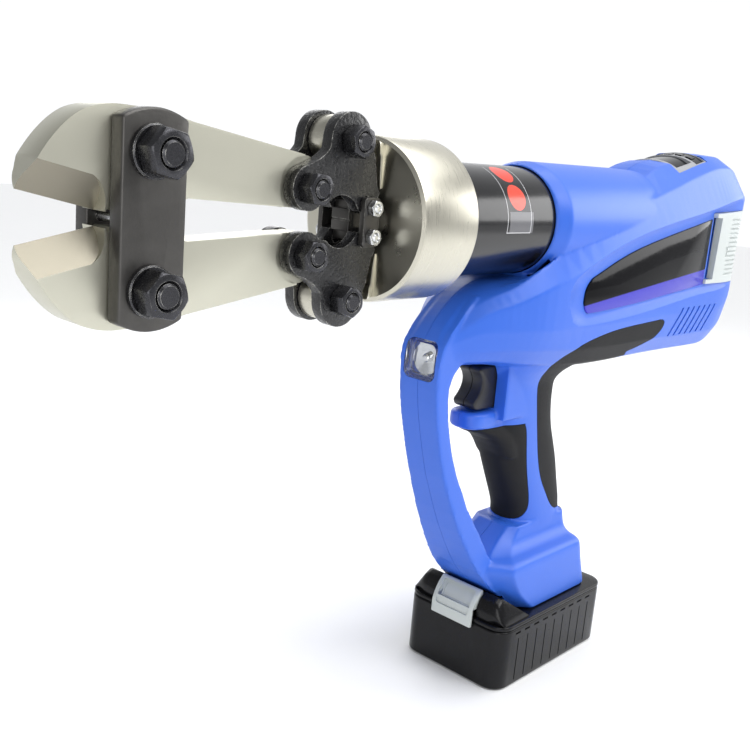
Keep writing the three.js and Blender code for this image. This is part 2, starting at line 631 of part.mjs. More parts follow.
// ---------- lamp ----------
add('lamp_lens', largest(outer.intersect(lampZone(GAP)).subtract(
  box(0, LAMP.back + 3, -REACH, REACH, 0, 400))), CLEAR);
add('lamp_reflector', box(LAMP.back + GAP, LAMP.back + 2.7, -9, 9, LAMP.low + 2, LAMP.high - 2), GREY_PLASTIC);

// ---------- display ----------
function displayFrame() {
  const block = outer.intersect(displayZone(GAP));
  const { back, front, half: w, rim, floor } = DISPLAY;
  return cut(block, box(back + rim, front - rim, -w + rim, w - rim, floor + 3, 340));
}

function displayWindow() {
  const { back, front, half: w, rim, floor } = DISPLAY;
  const edge = rim + GAP;
  return outerForm(0.8).intersect(box(back + edge, front - edge, -w + edge, w - edge, floor + 3 + GAP, 340));
}

add('display_frame', displayFrame(), GREY_PLASTIC);
add('display_window', displayWindow(), BLACK_GLOSS);

// ---------- drive inside the rear body ----------
add('pump_block', join(rodX(PUMP.back, PUMP.front, PUMP.r), rodX(PUMP.front - 1, NECK.back - GAP, PUMP.snout)),
  BLACK_STEEL);
add('gearbox', join(
  rodX(GEARBOX.back, GEARBOX.front, GEARBOX.r),
  rodX(GEARBOX.front - GEARBOX.flangeLength, GEARBOX.front, GEARBOX.flange)), GREY_PLASTIC);
add('motor', join(
  rodX(MOTOR.back, MOTOR.front, MOTOR.r),
  rodX(MOTOR.back - MOTOR.bossLength, MOTOR.back + 1, MOTOR.boss)), COPPER);
add('oil_reservoir',
  plan(roundedRect(RESERVOIR.back, RESERVOIR.front, -RESERVOIR.half, RESERVOIR.half, RESERVOIR.corner),
    RESERVOIR.low, RESERVOIR.high, 2), BLACK_PLASTIC);
add('control_board',
  box(BOARD.back, BOARD.front, -BOARD.half, BOARD.half, BOARD.low, BOARD.low + BOARD.thick), GREEN_BOARD);
add('trigger_switch',
  box(SWITCH.back, SWITCH.front, -SWITCH.half, SWITCH.half, SWITCH.low, SWITCH.high), BLACK_PLASTIC);

// ---------- trigger ----------
function trigger() {
  const { back, front, low, high, half: w } = TRIGGER;
  const s = new THREE.Shape();
  s.moveTo(back, low);
  s.lineTo(front - 6, low);
  s.quadraticCurveTo(front, low, front, low + 5);
  s.quadraticCurveTo(front - 12, (low + high) / 2 + 2, front - 2, high - 2);
  s.lineTo(front - 4, high);
  s.lineTo(back, high);
  return sideplate(s, -w, w, 1.2, 0, 4);
}

add('trigger', trigger(), BLACK_PLASTIC);

// ---------- battery ----------
const HALF_LENGTH = BATTERY.length / 2;
const HALF_WIDTH = BATTERY.width / 2;

function batteryOutline(inset) {
  return roundedRect(-HALF_LENGTH + inset, HALF_LENGTH - inset, -HALF_WIDTH + inset, HALF_WIDTH - inset,
    BATTERY.corner - inset);
}

function batteryCase() {
  const outer = plan(batteryOutline(0), 0, BATTERY.caseTop, 1);
  const hollow = plan(batteryOutline(BATTERY.wall), BATTERY.wall, BATTERY.caseTop + 5);
  return cut(outer, hollow);
}

function batteryCover() {
  const flat = BATTERY.caseTop + GAP;
  const top = BATTERY.coverTop;
  const plate = plan(batteryOutline(0), flat, top);
  const slope = new THREE.Shape();
  slope.moveTo(26, top - 0.1);
  slope.lineTo(HALF_LENGTH - 1, top - 0.1);
  slope.splineThru([[56, 48], [51, 54], [45, 56]].map(vec));
  const cap = sideplate(slope, -33, 33, 0, 0, 4);
  const rails = join(
    box(DOCK.back + 0.4, 24, -DOCK.stem, DOCK.stem, top - 0.1, DOCK.lip),
    box(DOCK.back + 0.4, 24, -DOCK.head, DOCK.head, DOCK.lip, DOCK.roof - 0.4));
  const pocket = join(
    box(47.6, 80, -16, 16, top + 0.6, 80),
    box(57.6, 80, -16, 16, 34, 80));
  return cut(join(plate, cap, rails), pocket);
}

function cellPack() {
  const cells = CELL.rows.flatMap((z, row) =>
    Array.from({ length: CELL.columns }, (_, i) =>
      pinY((i - (CELL.columns - 1) / 2) * CELL.pitch + (row ? CELL.shift : -CELL.shift), z, CELL.r,
        -CELL.length / 2, CELL.length / 2, 8)));
  return join(box(-48, 48, -3, 3, 4, 36), ...cells);
}

function batteryButton() {
  const s = new THREE.Shape();
  s.moveTo(59.5, 35);
  s.lineTo(61.8, 35);
  s.lineTo(61.8, 43);
  s.quadraticCurveTo(59, 53, 51, 58);
  s.lineTo(48, 57.5);
  s.lineTo(48, 46);
  s.lineTo(59.5, 46);
  return sideplate(s, -LATCH_HALF, LATCH_HALF, 0, 0, 4);
}

add('battery_case', batteryCase(), BLACK_PLASTIC);
add('battery_cover', batteryCover(), BLACK_PLASTIC);
add('battery_cells', cellPack(), GREY_PLASTIC);
add('battery_button', batteryButton(), WHITE_PLASTIC);

export default tool;
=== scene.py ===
"""Battery-hydraulic bar cutter: the looks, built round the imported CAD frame.

Lengths are in millimetres in the CAD frame until mesh() makes them metres:
+X forward to the jaws, +Y the tool's left, +Z up, origin under the battery.
"""
import math

import bmesh
import bpy
from mathutils import Matrix, Vector


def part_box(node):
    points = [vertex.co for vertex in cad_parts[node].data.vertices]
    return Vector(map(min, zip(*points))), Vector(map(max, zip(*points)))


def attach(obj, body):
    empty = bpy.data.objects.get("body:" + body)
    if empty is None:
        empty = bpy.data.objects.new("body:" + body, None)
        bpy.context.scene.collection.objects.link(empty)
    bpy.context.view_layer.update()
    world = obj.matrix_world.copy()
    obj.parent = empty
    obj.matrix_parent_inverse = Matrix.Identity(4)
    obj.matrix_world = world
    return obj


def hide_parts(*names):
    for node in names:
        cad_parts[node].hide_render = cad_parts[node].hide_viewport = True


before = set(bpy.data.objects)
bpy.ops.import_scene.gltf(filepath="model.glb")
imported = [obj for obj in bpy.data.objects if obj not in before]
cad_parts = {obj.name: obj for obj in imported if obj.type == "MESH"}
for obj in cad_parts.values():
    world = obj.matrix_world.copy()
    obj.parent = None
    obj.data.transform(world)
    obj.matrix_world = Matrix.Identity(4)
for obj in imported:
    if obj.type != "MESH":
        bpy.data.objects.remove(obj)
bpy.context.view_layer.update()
MM = 0.001


def box_mm(node):
    low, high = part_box(node)
    return low / MM, high / MM


# ---------- driving dimensions, read from the frame where it has them ----------
NECK_LOW, NECK_HIGH = box_mm("hydraulic_cylinder")
AXIS_Z = (NECK_LOW.z + NECK_HIGH.z) / 2
NECK_R = (NECK_HIGH.z - NECK_LOW.z) / 2
NECK_BORE = 22
COLLAR_LOW, COLLAR_HIGH = box_mm("cylinder_collar")
COLLAR_R = COLLAR_HIGH.y
COLLAR_BACK = COLLAR_LOW.x
COLLAR_FRONT = 169
BATTERY_LOW, BATTERY_HIGH = box_mm("battery_case")
CASE_TOP = BATTERY_HIGH.z
EAR = (192, 36)
TAIL = (216, 14.5)
LINK = (178.5, 6.6)
PIVOT = (300, 26)
CHEEK_Y = (6, 12)
LINK_Y = (12.3, 15.3)
JAW_HALF = 7.5
PLATE_Y = (7.8, 15.8)
GAP = 0.3
SIDES = (("upper", 1), ("lower", -1))
SEAM = 0.12
VOXEL = 1.0


# ---------- mesh helpers ----------
def mesh(name, verts, faces):
    data = bpy.data.meshes.new(name)
    data.from_pydata([Vector(v) * MM for v in verts], [], faces)
    work = bmesh.new()
    work.from_mesh(data)
    bmesh.ops.remove_doubles(work, verts=work.verts, dist=1e-7)
    bmesh.ops.recalc_face_normals(work, faces=work.faces)
    work.to_mesh(data)
    work.free()
    obj = bpy.data.objects.new(name, data)
    bpy.context.scene.collection.objects.link(obj)
    return obj


def loft(name, rings, closed=False):
    """Joins rings of points into a solid, with end caps, or into a torus where closed."""
    n = len(rings[0])
    count = len(rings)
    faces = []
    for i in range(count if closed else count - 1):
        a, b = i * n, (i + 1) % count * n
        for j in range(n):
            k = (j + 1) % n
            faces.append((a + j, a + k, b + k, b + j))
    if not closed:
        faces.append(tuple(range(n)))
        faces.append(tuple((count - 1) * n + j for j in range(n)))
    return mesh(name, [p for ring in rings for p in ring], faces)


def drop(obj):
    data = obj.data
    bpy.data.objects.remove(obj)
    if data.users == 0:
        bpy.data.meshes.remove(data)


def modified(obj, kind, **settings):
    modifier = obj.modifiers.new(kind, kind)
    for key, value in settings.items():
        setattr(modifier, key, value)
    bpy.context.view_layer.update()
    graph = bpy.context.evaluated_depsgraph_get()
    data = bpy.data.meshes.new_from_object(obj.evaluated_get(graph))
    obj.modifiers.clear()
    old = obj.data
    obj.data = data
    if old.users == 0:
        bpy.data.meshes.remove(old)
    return obj


def combine(obj, operation, *others, keep=False):
    for other in others:
        modified(obj, "BOOLEAN", operation=operation, object=other, solver="MANIFOLD")
        if not obj.data.polygons:
            raise ValueError(f"{operation} with {other.name} left {obj.name} empty")
        if not keep:
            drop(other)
    return obj


def union(obj, *others, **options):
    return combine(obj, "UNION", *others, **options)


def cut(obj, *others, **options):
    return combine(obj, "DIFFERENCE", *others, **options)


def common(obj, *others, **options):
    return combine(obj, "INTERSECT", *others, **options)


def copy(obj):
    twin = obj.copy()
    twin.data = obj.data.copy()
    bpy.context.scene.collection.objects.link(twin)
    return twin


def rounded(obj, width, segments=2, angle=28):
    return modified(obj, "BEVEL", width=width * MM, segments=segments, limit_method="ANGLE",
                    angle_limit=math.radians(angle), use_clamp_overlap=True)


def mirror_z(obj):
    obj.data.transform(Matrix.Translation((0, 0, 2 * AXIS_Z * MM)) @ Matrix.Diagonal((1, 1, -1, 1)))
    obj.data.flip_normals()
    return obj


def mirror_y(obj):
    obj.data.transform(Matrix.Diagonal((1, -1, 1, 1)))
    obj.data.flip_normals()
    return obj


def sided(obj, sign):
    return obj if sign > 0 else mirror_z(obj)


def arc(cx, cy, r, start, end, steps=12):
    points = []
    for i in range(steps + 1):
        a = math.radians(start + (end - start) * i / steps)
        points.append((cx + r * math.cos(a), cy + r * math.sin(a)))
    return points


def curve(*controls, steps=10):
    """A Bezier curve through any number of control points."""
    points = []
    for i in range(steps + 1):
        t = i / steps
        level = [Vector(c) for c in controls]
        while len(level) > 1:
            level = [a.lerp(b, t) for a, b in zip(level, level[1:])]
        points.append(tuple(level[0]))
    return points


def spline(points, steps=6):
    """A Catmull-Rom curve through the points."""
    pts = [Vector(p) for p in points]
    pts = [2 * pts[0] - pts[1]] + pts + [2 * pts[-1] - pts[-2]]
    out = []
    for a, b, c, d in zip(pts, pts[1:], pts[2:], pts[3:]):
        for i in range(steps):
            t = i / steps
            p = 0.5 * (2 * b + (c - a) * t + (2 * a - 5 * b + 4 * c - d) * t ** 2
                       + (3 * b - a - 3 * c + d) * t ** 3)
            out.append(tuple(p))
    out.append(tuple(pts[-2]))
    return out


def sideplate(name, outline, y0, y1, bevel=0.0, segments=2, grow=0.0):
    """An XZ outline extruded over Y. grow widens the y1 end, for a cutter with sloping walls."""
    wide = offset(outline, grow) if grow else outline
    rings = [[(x, y0, z) for x, z in outline], [(x, y1, z) for x, z in wide]]
    obj = loft(name, rings)
    return rounded(obj, bevel, segments) if bevel else obj


def sideplate_x(name, outline, x0, x1):
    """A YZ outline extruded over X."""
    return loft(name, [[(x, y, z) for y, z in outline] for x in (x0, x1)])


def plan(name, outline, z0, z1, bevel=0.0, segments=2):
    obj = loft(name, [[(x, y, z) for x, y in outline] for z in (z0, z1)])
    return rounded(obj, bevel, segments) if bevel else obj


def offset(outline, distance):
    """Moves each point of an anticlockwise or clockwise outline out along its normal."""
    n = len(outline)
    area = sum(outline[i][0] * outline[(i + 1) % n][1] - outline[(i + 1) % n][0] * outline[i][1]
               for i in range(n))
    turn = 1 if area > 0 else -1
    out = []
    for i, (x, y) in enumerate(outline):
        before, after = Vector(outline[i - 1]), Vector(outline[(i + 1) % n])
        tangent = (after - before).normalized()
        out.append((x + tangent.y * turn * distance, y - tangent.x * turn * distance))
    return out


def block(name, x0, x1, y0, y1, z0, z1, bevel=0.0, segments=3):
    rings = [[(x, y0, z0), (x, y1, z0), (x, y1, z1), (x, y0, z1)] for x in (x0, x1)]
    obj = loft(name, rings)
    return rounded(obj, bevel, segments) if bevel else obj


def lathe_x(name, profile, segments=96, closed=False, z=AXIS_Z):
    """A solid turned about a line along X at Y = 0."""
    rings = []
    for x, r in profile:
        rings.append([(x, py, z + pz) for py, pz in arc(0, 0, r, 0, 360, segments)[:-1]])
    return loft(name, rings, closed)


def lathe_y(name, centre, profile, segments=40, closed=False):
    rings = []
    for y, r in profile:
        rings.append([(px, y, pz) for px, pz in arc(*centre, r, 0, 360, segments)[:-1]])
    return loft(name, rings, closed)


def rod_y(name, centre, r, y0, y1, chamfer=0.0, segments=40):
    if not chamfer:
        return lathe_y(name, centre, [(y0, r), (y1, r)], segments)
    return lathe_y(name, centre, [(y0, r - chamfer), (y0 + chamfer, r), (y1 - chamfer, r),
                                  (y1, r - chamfer)], segments)


def rounded_rect(x0, x1, y0, y1, r, steps=8):
    return (arc(x1 - r, y0 + r, r, -90, 0, steps) + arc(x1 - r, y1 - r, r, 0, 90, steps)
            + arc(x0 + r, y1 - r, r, 90, 180, steps) + arc(x0 + r, y0 + r, r, 180, 270, steps))


# ---------- materials ----------
def math_node(node, link, kind, a, b=None):
    """The result of a Math node. Each operand is a socket or a number."""
    made = node("ShaderNodeMath")
    made.operation = kind
    for socket, value in zip(made.inputs, (a, b)):
        if isinstance(value, (int, float)):
            socket.default_value = value
        elif value is not None:
            link(value, socket)
    return made.outputs[0]


def colour_sockets(sockets):
    return [s for s in sockets if s.type == "RGBA"]


def mixed(node, link, factor, base, other):
    """The socket base's colour, with the colour other over it where the socket factor is 1."""
    mix = node("ShaderNodeMix")
    mix.data_type = "RGBA"
    link(factor, mix.inputs[0])
    below, above = colour_sockets(mix.inputs)
    link(base, below)
    above.default_value = (*other, 1)
    return colour_sockets(mix.outputs)[0]


def finish(name, colour, roughness, metallic=0.0, spread=0.07, patch=45, grain=1400, bump=0.06,
           stretch=(1, 1, 1), wear=None, wear_radius=0.6, rough_spread=0.06,
           specular=0.5, second=None):
    """A procedural material: two scales of colour change, roughness change, grain and edge wear."""
    mat = bpy.data.materials.new(name)
    mat.use_nodes = True
    tree = mat.node_tree
    shader = tree.nodes["Principled BSDF"]

    def node(kind, **inputs):
        made = tree.nodes.new(kind)
        for key, value in inputs.items():
            made.inputs[key.replace("_", " ")].default_value = value
        return made

    def link(a, b):
        tree.links.new(a, b)

    coords = node("ShaderNodeTexCoord")
    stretched = node("ShaderNodeVectorMath")
    stretched.operation = "MULTIPLY"
    link(coords.outputs["Object"], stretched.inputs[0])
    stretched.inputs[1].default_value = stretch
    broad = node("ShaderNodeTexNoise", Scale=patch, Detail=5.0, Roughness=0.6)
    link(coords.outputs["Object"], broad.inputs["Vector"])
    fine = node("ShaderNodeTexNoise", Scale=grain, Detail=3.0, Roughness=0.55)
    link(stretched.outputs[0], fine.inputs["Vector"])

    tint = node("ShaderNodeMix")
    tint.data_type = "RGBA"
    for socket, change in zip(colour_sockets(tint.inputs), (1 - spread, 1 + spread)):
        socket.default_value = (*[min(1, c * change) for c in colour], 1)
    colour_out = colour_sockets(tint.outputs)[0]
    link(broad.outputs["Fac"], tint.inputs[0])

    if second:
        colour_out = second(node, link, coords, colour_out)

    rough = node("ShaderNodeMapRange", From_Min=0.3, From_Max=0.7,
                 To_Min=max(0.02, roughness - rough_spread), To_Max=min(1, roughness + rough_spread))
    link(fine.outputs["Fac"], rough.inputs["Value"])

    if wear:
        soft = node("ShaderNodeBevel", Radius=wear_radius * MM)
        soft.samples = 6
        here = node("ShaderNodeNewGeometry")
        dot = node("ShaderNodeVectorMath")
        dot.operation = "DOT_PRODUCT"
        link(soft.outputs["Normal"], dot.inputs[0])
        link(here.outputs["Normal"], dot.inputs[1])
        edge = node("ShaderNodeMapRange", From_Min=0.9, From_Max=0.985, To_Min=1.0, To_Max=0.0)
        link(dot.outputs["Value"], edge.inputs["Value"])
        scuff = node("ShaderNodeTexNoise", Scale=260.0, Detail=6.0, Roughness=0.7)
        link(coords.outputs["Object"], scuff.inputs["Vector"])
        patchy = node("ShaderNodeMapRange", From_Min=0.42, From_Max=0.6)
        link(scuff.outputs["Fac"], patchy.inputs["Value"])
        both = math_node(node, link, "MULTIPLY", edge.outputs["Result"], patchy.outputs["Result"])
        colour_out = mixed(node, link, both, colour_out, wear)

    relief = node("ShaderNodeBump", Strength=bump, Distance=0.0004)
    link(fine.outputs["Fac"], relief.inputs["Height"])
    link(relief.outputs["Normal"], shader.inputs["Normal"])
    link(colour_out, shader.inputs["Base Color"])
    link(rough.outputs["Result"], shader.inputs["Roughness"])
    shader.inputs["Metallic"].default_value = metallic
    shader.inputs["Specular IOR Level"].default_value = specular
    return mat


def two_colours(other, point, normal, width=0.25):
    """The colour is other on the side of the plane that normal points to."""
    def build(node, link, coords, colour_out):
        shifted = node("ShaderNodeVectorMath")
        shifted.operation = "SUBTRACT"
        link(coords.outputs["Object"], shifted.inputs[0])
        shifted.inputs[1].default_value = [c * MM for c in point]
        side = node("ShaderNodeVectorMath")
        side.operation = "DOT_PRODUCT"
        link(shifted.outputs[0], side.inputs[0])
        side.inputs[1].default_value = normal
        step = node("ShaderNodeMapRange", From_Min=-width * MM, From_Max=width * MM)
        link(side.outputs["Value"], step.inputs["Value"])
        return mixed(node, link, step.outputs["Result"], colour_out, other)
    return build


def painted_shade_on_slants(other, flat=0.95, edge=0.4):
    """Paints the colour other as a painted shade on the slanting faces, whose normals lie between Y and the
    XZ plane.
    """
    def build(node, link, coords, colour_out):
        axes = node("ShaderNodeSeparateXYZ")
        link(coords.outputs["Normal"], axes.inputs[0])
        across = math_node(node, link, "ABSOLUTE", axes.outputs["Y"])
        slanting = math_node(node, link, "MULTIPLY", math_node(node, link, "LESS_THAN", across, flat),
                             math_node(node, link, "GREATER_THAN", across, edge))
        return mixed(node, link, slanting, colour_out, other)
    return build


BRIGHT_STEEL = (0.55, 0.54, 0.5)
BLUE = finish("blue_plastic", (0.032, 0.135, 0.66), 0.38, grain=2600, bump=0.12, spread=0.05, patch=14)
RUBBER = finish("rubber", (0.009, 0.009, 0.01), 0.62, specular=0.2,
                grain=2200, bump=0.35, spread=0.25, patch=60)
SCREEN = finish("screen", (0.006, 0.007, 0.009), 0.08, specular=0.3, grain=500, bump=0.01,
                spread=0.2, rough_spread=0.03)
BATTERY_BLACK = finish("battery_black", (0.005, 0.005, 0.006), 0.24, specular=0.25, grain=1800, bump=0.08,
                       spread=0.2)
BLACK_PLASTIC = finish("black_plastic", (0.014, 0.014, 0.015), 0.42, grain=2400, bump=0.15, spread=0.15)
WHITE = finish("white_plastic", (0.56, 0.6, 0.59), 0.38, grain=1800, bump=0.06, spread=0.03)
GREY = finish("grey_plastic", (0.32, 0.33, 0.35), 0.4, grain=1800, bump=0.08)
SATIN = finish("satin_steel", (0.56, 0.54, 0.46), 0.3, metallic=1.0, grain=90, stretch=(30, 1, 1),
               bump=0.03, spread=0.04, rough_spread=0.04)
# The jaw steel's slanting faces and rounded edges get a darker colour: painted shade.
JAW_STEEL = finish("jaw_steel", (0.56, 0.55, 0.46), 0.36, metallic=0.9, grain=900,
                   stretch=(1, 3, 3), bump=0.03, spread=0.04, patch=25, rough_spread=0.03,
                   second=painted_shade_on_slants((0.27, 0.25, 0.2)))
DARK_STEEL = finish("dark_steel", (0.085, 0.082, 0.078), 0.4, metallic=0.85, grain=900, bump=0.1,
                    spread=0.25, patch=90, wear=BRIGHT_STEEL, wear_radius=0.5)
OXIDE = finish("black_oxide", (0.05, 0.05, 0.055), 0.28, metallic=0.85, grain=1200, bump=0.08,
               spread=0.25, wear=BRIGHT_STEEL, wear_radius=0.45)
CAST = finish("black_cast", (0.008, 0.008, 0.009), 0.3, metallic=0.0, grain=520, bump=0.9,
              spread=0.3, wear=BRIGHT_STEEL, wear_radius=0.6, rough_spread=0.1, specular=0.6)
ZINC = finish("zinc", (0.62, 0.63, 0.64), 0.28, metallic=1.0, grain=900, bump=0.08)
POLISHED = finish("polished", (0.6, 0.6, 0.6), 0.12, metallic=1.0, grain=60, stretch=(30, 1, 1), bump=0.02)
MOTOR = finish("motor_can", (0.3, 0.3, 0.31), 0.4, metallic=0.8)
BOARD = finish("board", (0.02, 0.12, 0.05), 0.5, grain=300, spread=0.3)
CELL = finish("cell_can", (0.2, 0.22, 0.24), 0.4, metallic=0.3)
# The label is black above a slanting line and violet below it: a point on the line and its upward normal.
STRIPE_POINT, STRIPE_NORMAL = (16, 0, 234), (0.1056, 0, 0.9944)
LABEL = finish("label", (0.07, 0.065, 0.5), 0.1, specular=0.12, grain=700, bump=0.01, spread=0.05,
               second=two_colours((0.004, 0.004, 0.005), STRIPE_POINT, STRIPE_NORMAL))


# The neck's sticker: X of its edges, and degrees round the neck from its top towards +Y.
STICKER_X, STICKER_ANGLES = (69.2, 90.4), (18, 97)
STICKER_LINE = 0.2
STICKER_GREY, STICKER_WHITE = (0.14, 0.14, 0.15), (0.6, 0.6, 0.62)
# Each disc: degrees round the neck, and its red; the second disc's slightly lighter red is a painted
# reflection.
DISC_X, DISC_R = 79.8, 7.4
DISCS = ((29, (0.72, 0.05, 0.025)), (60.5, (0.72, 0.07, 0.04)))


def sticker(node, link, coords, colour_out):
    """The neck's clear sticker: a grey square, thin white edge lines and two red discs."""
    def calc(kind, a, b=None):
        return math_node(node, link, kind, a, b)

    axes = node("ShaderNodeSeparateXYZ")
    link(coords.outputs["Object"], axes.inputs[0])
    along = calc("DIVIDE", axes.outputs["X"], MM)
    height = calc("SUBTRACT", axes.outputs["Z"], AXIS_Z * MM)
    around = calc("MULTIPLY", calc("ARCTAN2", axes.outputs["Y"], height), NECK_R)

    def inside(x0, x1, a0, a1):
        within_x = calc("MULTIPLY", calc("GREATER_THAN", along, x0), calc("LESS_THAN", along, x1))
        within_a = calc("MULTIPLY", calc("GREATER_THAN", around, math.radians(a0) * NECK_R),
                        calc("LESS_THAN", around, math.radians(a1) * NECK_R))
        return calc("MULTIPLY", within_x, within_a)

    def disc(x, a, r):
        dx = calc("SUBTRACT", along, x)
        da = calc("SUBTRACT", around, math.radians(a) * NECK_R)
        return calc("LESS_THAN", calc("ADD", calc("MULTIPLY", dx, dx), calc("MULTIPLY", da, da)), r * r)

    low_a, high_a = STICKER_ANGLES
    marks = [(inside(67, 88.5, 76, high_a), STICKER_GREY)]
    marks += [(inside(x - STICKER_LINE, x + STICKER_LINE, low_a, high_a), STICKER_WHITE) for x in STICKER_X]
    low_x, high_x = STICKER_X[0] - STICKER_LINE, STICKER_X[1] + STICKER_LINE
    marks.append((inside(low_x, high_x, high_a - 0.4, high_a + 0.4), STICKER_WHITE))
    marks += [(disc(DISC_X, a, DISC_R), red) for a, red in DISCS]
    for factor, colour in marks:
        colour_out = mixed(node, link, factor, colour_out, colour)
    return colour_out


NECK_BLACK = finish("neck_black", (0.008, 0.008, 0.009), 0.17, grain=700, bump=0.02, spread=0.25,
                    rough_spread=0.04, second=sticker)


def clear_material():
    mat = bpy.data.materials.new("clear_lens")
    mat.use_nodes = True
    tree = mat.node_tree
    shader = tree.nodes["Principled BSDF"]
    coords = tree.nodes.new("ShaderNodeTexCoord")
    wave = tree.nodes.new("ShaderNodeTexNoise")
    wave.inputs["Scale"].default_value = 300
    tree.links.new(coords.outputs["Object"], wave.inputs["Vector"])
    relief = tree.nodes.new("ShaderNodeBump")
    relief.inputs["Strength"].default_value = 0.08
    relief.inputs["Distance"].default_value = 0.0005
    tree.links.new(wave.outputs["Fac"], relief.inputs["Height"])
    tree.links.new(relief.outputs["Normal"], shader.inputs["Normal"])
    shader.inputs["Base Color"].default_value = (0.95, 0.97, 1, 1)
    shader.inputs["Roughness"].default_value = 0.03
    shader.inputs["Transmission Weight"].default_value = 1.0
    shader.inputs["IOR"].default_value = 1.45
    return mat


CLEAR = clear_material()

NODE_MATERIALS = {
    "shell_screw": ZINC, "pump_block": DARK_STEEL, "gearbox": GREY, "motor": MOTOR,
    "oil_reservoir": RUBBER, "control_board": BOARD, "trigger_switch": BLACK_PLASTIC,
    "piston_seal": RUBBER, "battery_cells": CELL, "display_frame": GREY, "display_window": SCREEN,
    "lamp_lens": CLEAR, "lamp_reflector": ZINC, "left_housing": BLUE, "right_housing": BLUE,
    "rear_grip": RUBBER, "front_grip": RUBBER, "rear_cap": WHITE, "left_label": LABEL,
    "right_label": LABEL, "cylinder_collar": SATIN, "hydraulic_cylinder": NECK_BLACK,
    "piston_rod": POLISHED, "crosshead": DARK_STEEL, "left_link": CAST, "right_link": CAST,
    "upper_link": ZINC, "lower_link": ZINC, "upper_jaw": JAW_STEEL, "lower_jaw": JAW_STEEL,
    "left_jaw": DARK_STEEL, "right_jaw": DARK_STEEL, "jaw_stop": ZINC, "trigger": BLACK_PLASTIC,
    "battery_case": BATTERY_BLACK, "battery_cover": BATTERY_BLACK, "battery_button": WHITE,
    "upper_left_lever": CAST, "upper_right_lever": CAST, "lower_left_lever": CAST,
    "lower_right_lever": CAST,
}
for node_name, node_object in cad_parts.items():
    matches = [k for k in NODE_MATERIALS if node_name.startswith(k)]
    chosen = NODE_MATERIALS[max(matches, key=len)] if matches else OXIDE
    node_object.data.materials.clear()
    node_object.data.materials.append(chosen)


def piece(obj, body, material, slot, *nodes, sharp=32):
    obj.name = obj.name + "_looks"
    obj.data.materials.clear()
    obj.data.materials.append(material)
    obj.data.polygons.foreach_set("material_index", [0] * len(obj.data.polygons))
    obj.data.polygons.foreach_set("use_smooth", [True] * len(obj.data.polygons))
    obj.data.set_sharp_from_angle(angle=math.radians(sharp))
    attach(obj, body)
    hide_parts(*nodes)
    return obj


# ---------- fasteners ----------
def hexagon(centre, flats, turn):
    return arc(*centre, flats / math.sqrt(3), turn, turn + 360, 6)[:-1]


def hex_solid(name, centre, flats, y0, y1, turn, chamfer_at):
    """A hexagon whose corners are cut back by a cone at the chamfer_at ends."""
    r = flats / math.sqrt(3)
    small = flats / 2 * 0.98
    rise = (r - small) * 0.62
    low = small if y0 in chamfer_at else r + 1
    high = small if y1 in chamfer_at else r + 1
    body = loft(name, [[(x, y, z) for x, z in hexagon(centre, flats, turn)] for y in (y0, y1)])
    cone = lathe_y("cone", centre, [(y0 - 0.01, low), (y0 + rise, r + 0.05), (y1 - rise, r + 0.05),
                                    (y1 + 0.01, high)], 48)
    return rounded(common(body, cone), 0.18, 1, 35)


def nut_piece(name, centre, flats, height, face, bore, turn):
    top = face + height
    body = hex_solid(name, centre, flats, face, top, turn, (top, face))
    sink = flats * 0.06
    hole = lathe_y("hole", centre, [(face - 1, bore), (top - sink, bore), (top + 0.1, bore + sink)], 40)
    return cut(body, hole)


def bolt_piece(name, centre, r, flats, head_height, face, end, turn):
    low = -face - head_height
    head = hex_solid(name, centre, flats, low, -face, turn, (low,))
    collar = lathe_y("collar", centre, [(-face - 0.9, flats * 0.56), (-face - 0.3, flats * 0.58),
                                        (-face, flats * 0.58)], 48)
    shank = lathe_y("shank", centre, [(-face - 0.3, r), (end - 0.8, r), (end, r - 0.8)], 32)
    return union(head, collar, shank)


# ---------- head ----------
def build_collar():
    r, back, front, bore = COLLAR_R, COLLAR_BACK, COLLAR_FRONT, 10.3
    inside = NECK_HIGH.x + GAP
    body = lathe_x("collar", [
        (back, NECK_R + GAP), (back, r - 1.6), (back + 0.5, r - 0.6), (back + 1.6, r), (front - 2.4, r),
        (front - 1.0, r - 0.5), (front, r - 2.2), (front, bore + 1), (front - 1, bore), (inside, bore),
        (inside, NECK_R + GAP)], 128, closed=True)
    ear_x, dz = EAR
    shape = ([(front - 3, 14), (front + 5, 15), (ear_x - 4, dz - 10.3)]
             + arc(ear_x, dz, 11, -80, 125, 20) + [(front + 6, 38), (front - 3, 34)])
    ears = []
    for _, sign in SIDES:
        ear = sideplate("ear", [(x, AXIS_Z + z) for x, z in shape], -5.5, 5.5, 0.8)
        gusset = sideplate("gusset", [(front - 3, AXIS_Z + 15), (front + 1.5, AXIS_Z + 15),
                                      (front + 2.2, AXIS_Z + 30), (front + 7, AXIS_Z + 38.5),
                                      (front - 3, AXIS_Z + 35)], -11, 11, 1.0)
        clear = sideplate("clear", [(front + 0.5, AXIS_Z + 12), (front + 30, AXIS_Z + 12),
                                    (front + 30, AXIS_Z + 60), (front + 7.8, AXIS_Z + 60),
                                    (front + 2.5, AXIS_Z + 30)], -13, 13)
        keep = block("keep", front - 5, front + 40, -5.5, 5.5, AXIS_Z, AXIS_Z + 60)
        cut(clear, keep)
        cut(gusset, clear)
        union(ear, gusset)
        cut(ear, rod_y("hole", (ear_x, AXIS_Z + dz), 4.3, -20, 20))
        ears.append(sided(ear, sign))
    union(body, *ears)
    return piece(body, "head", SATIN, "satin_steel", "cylinder_collar", sharp=25)


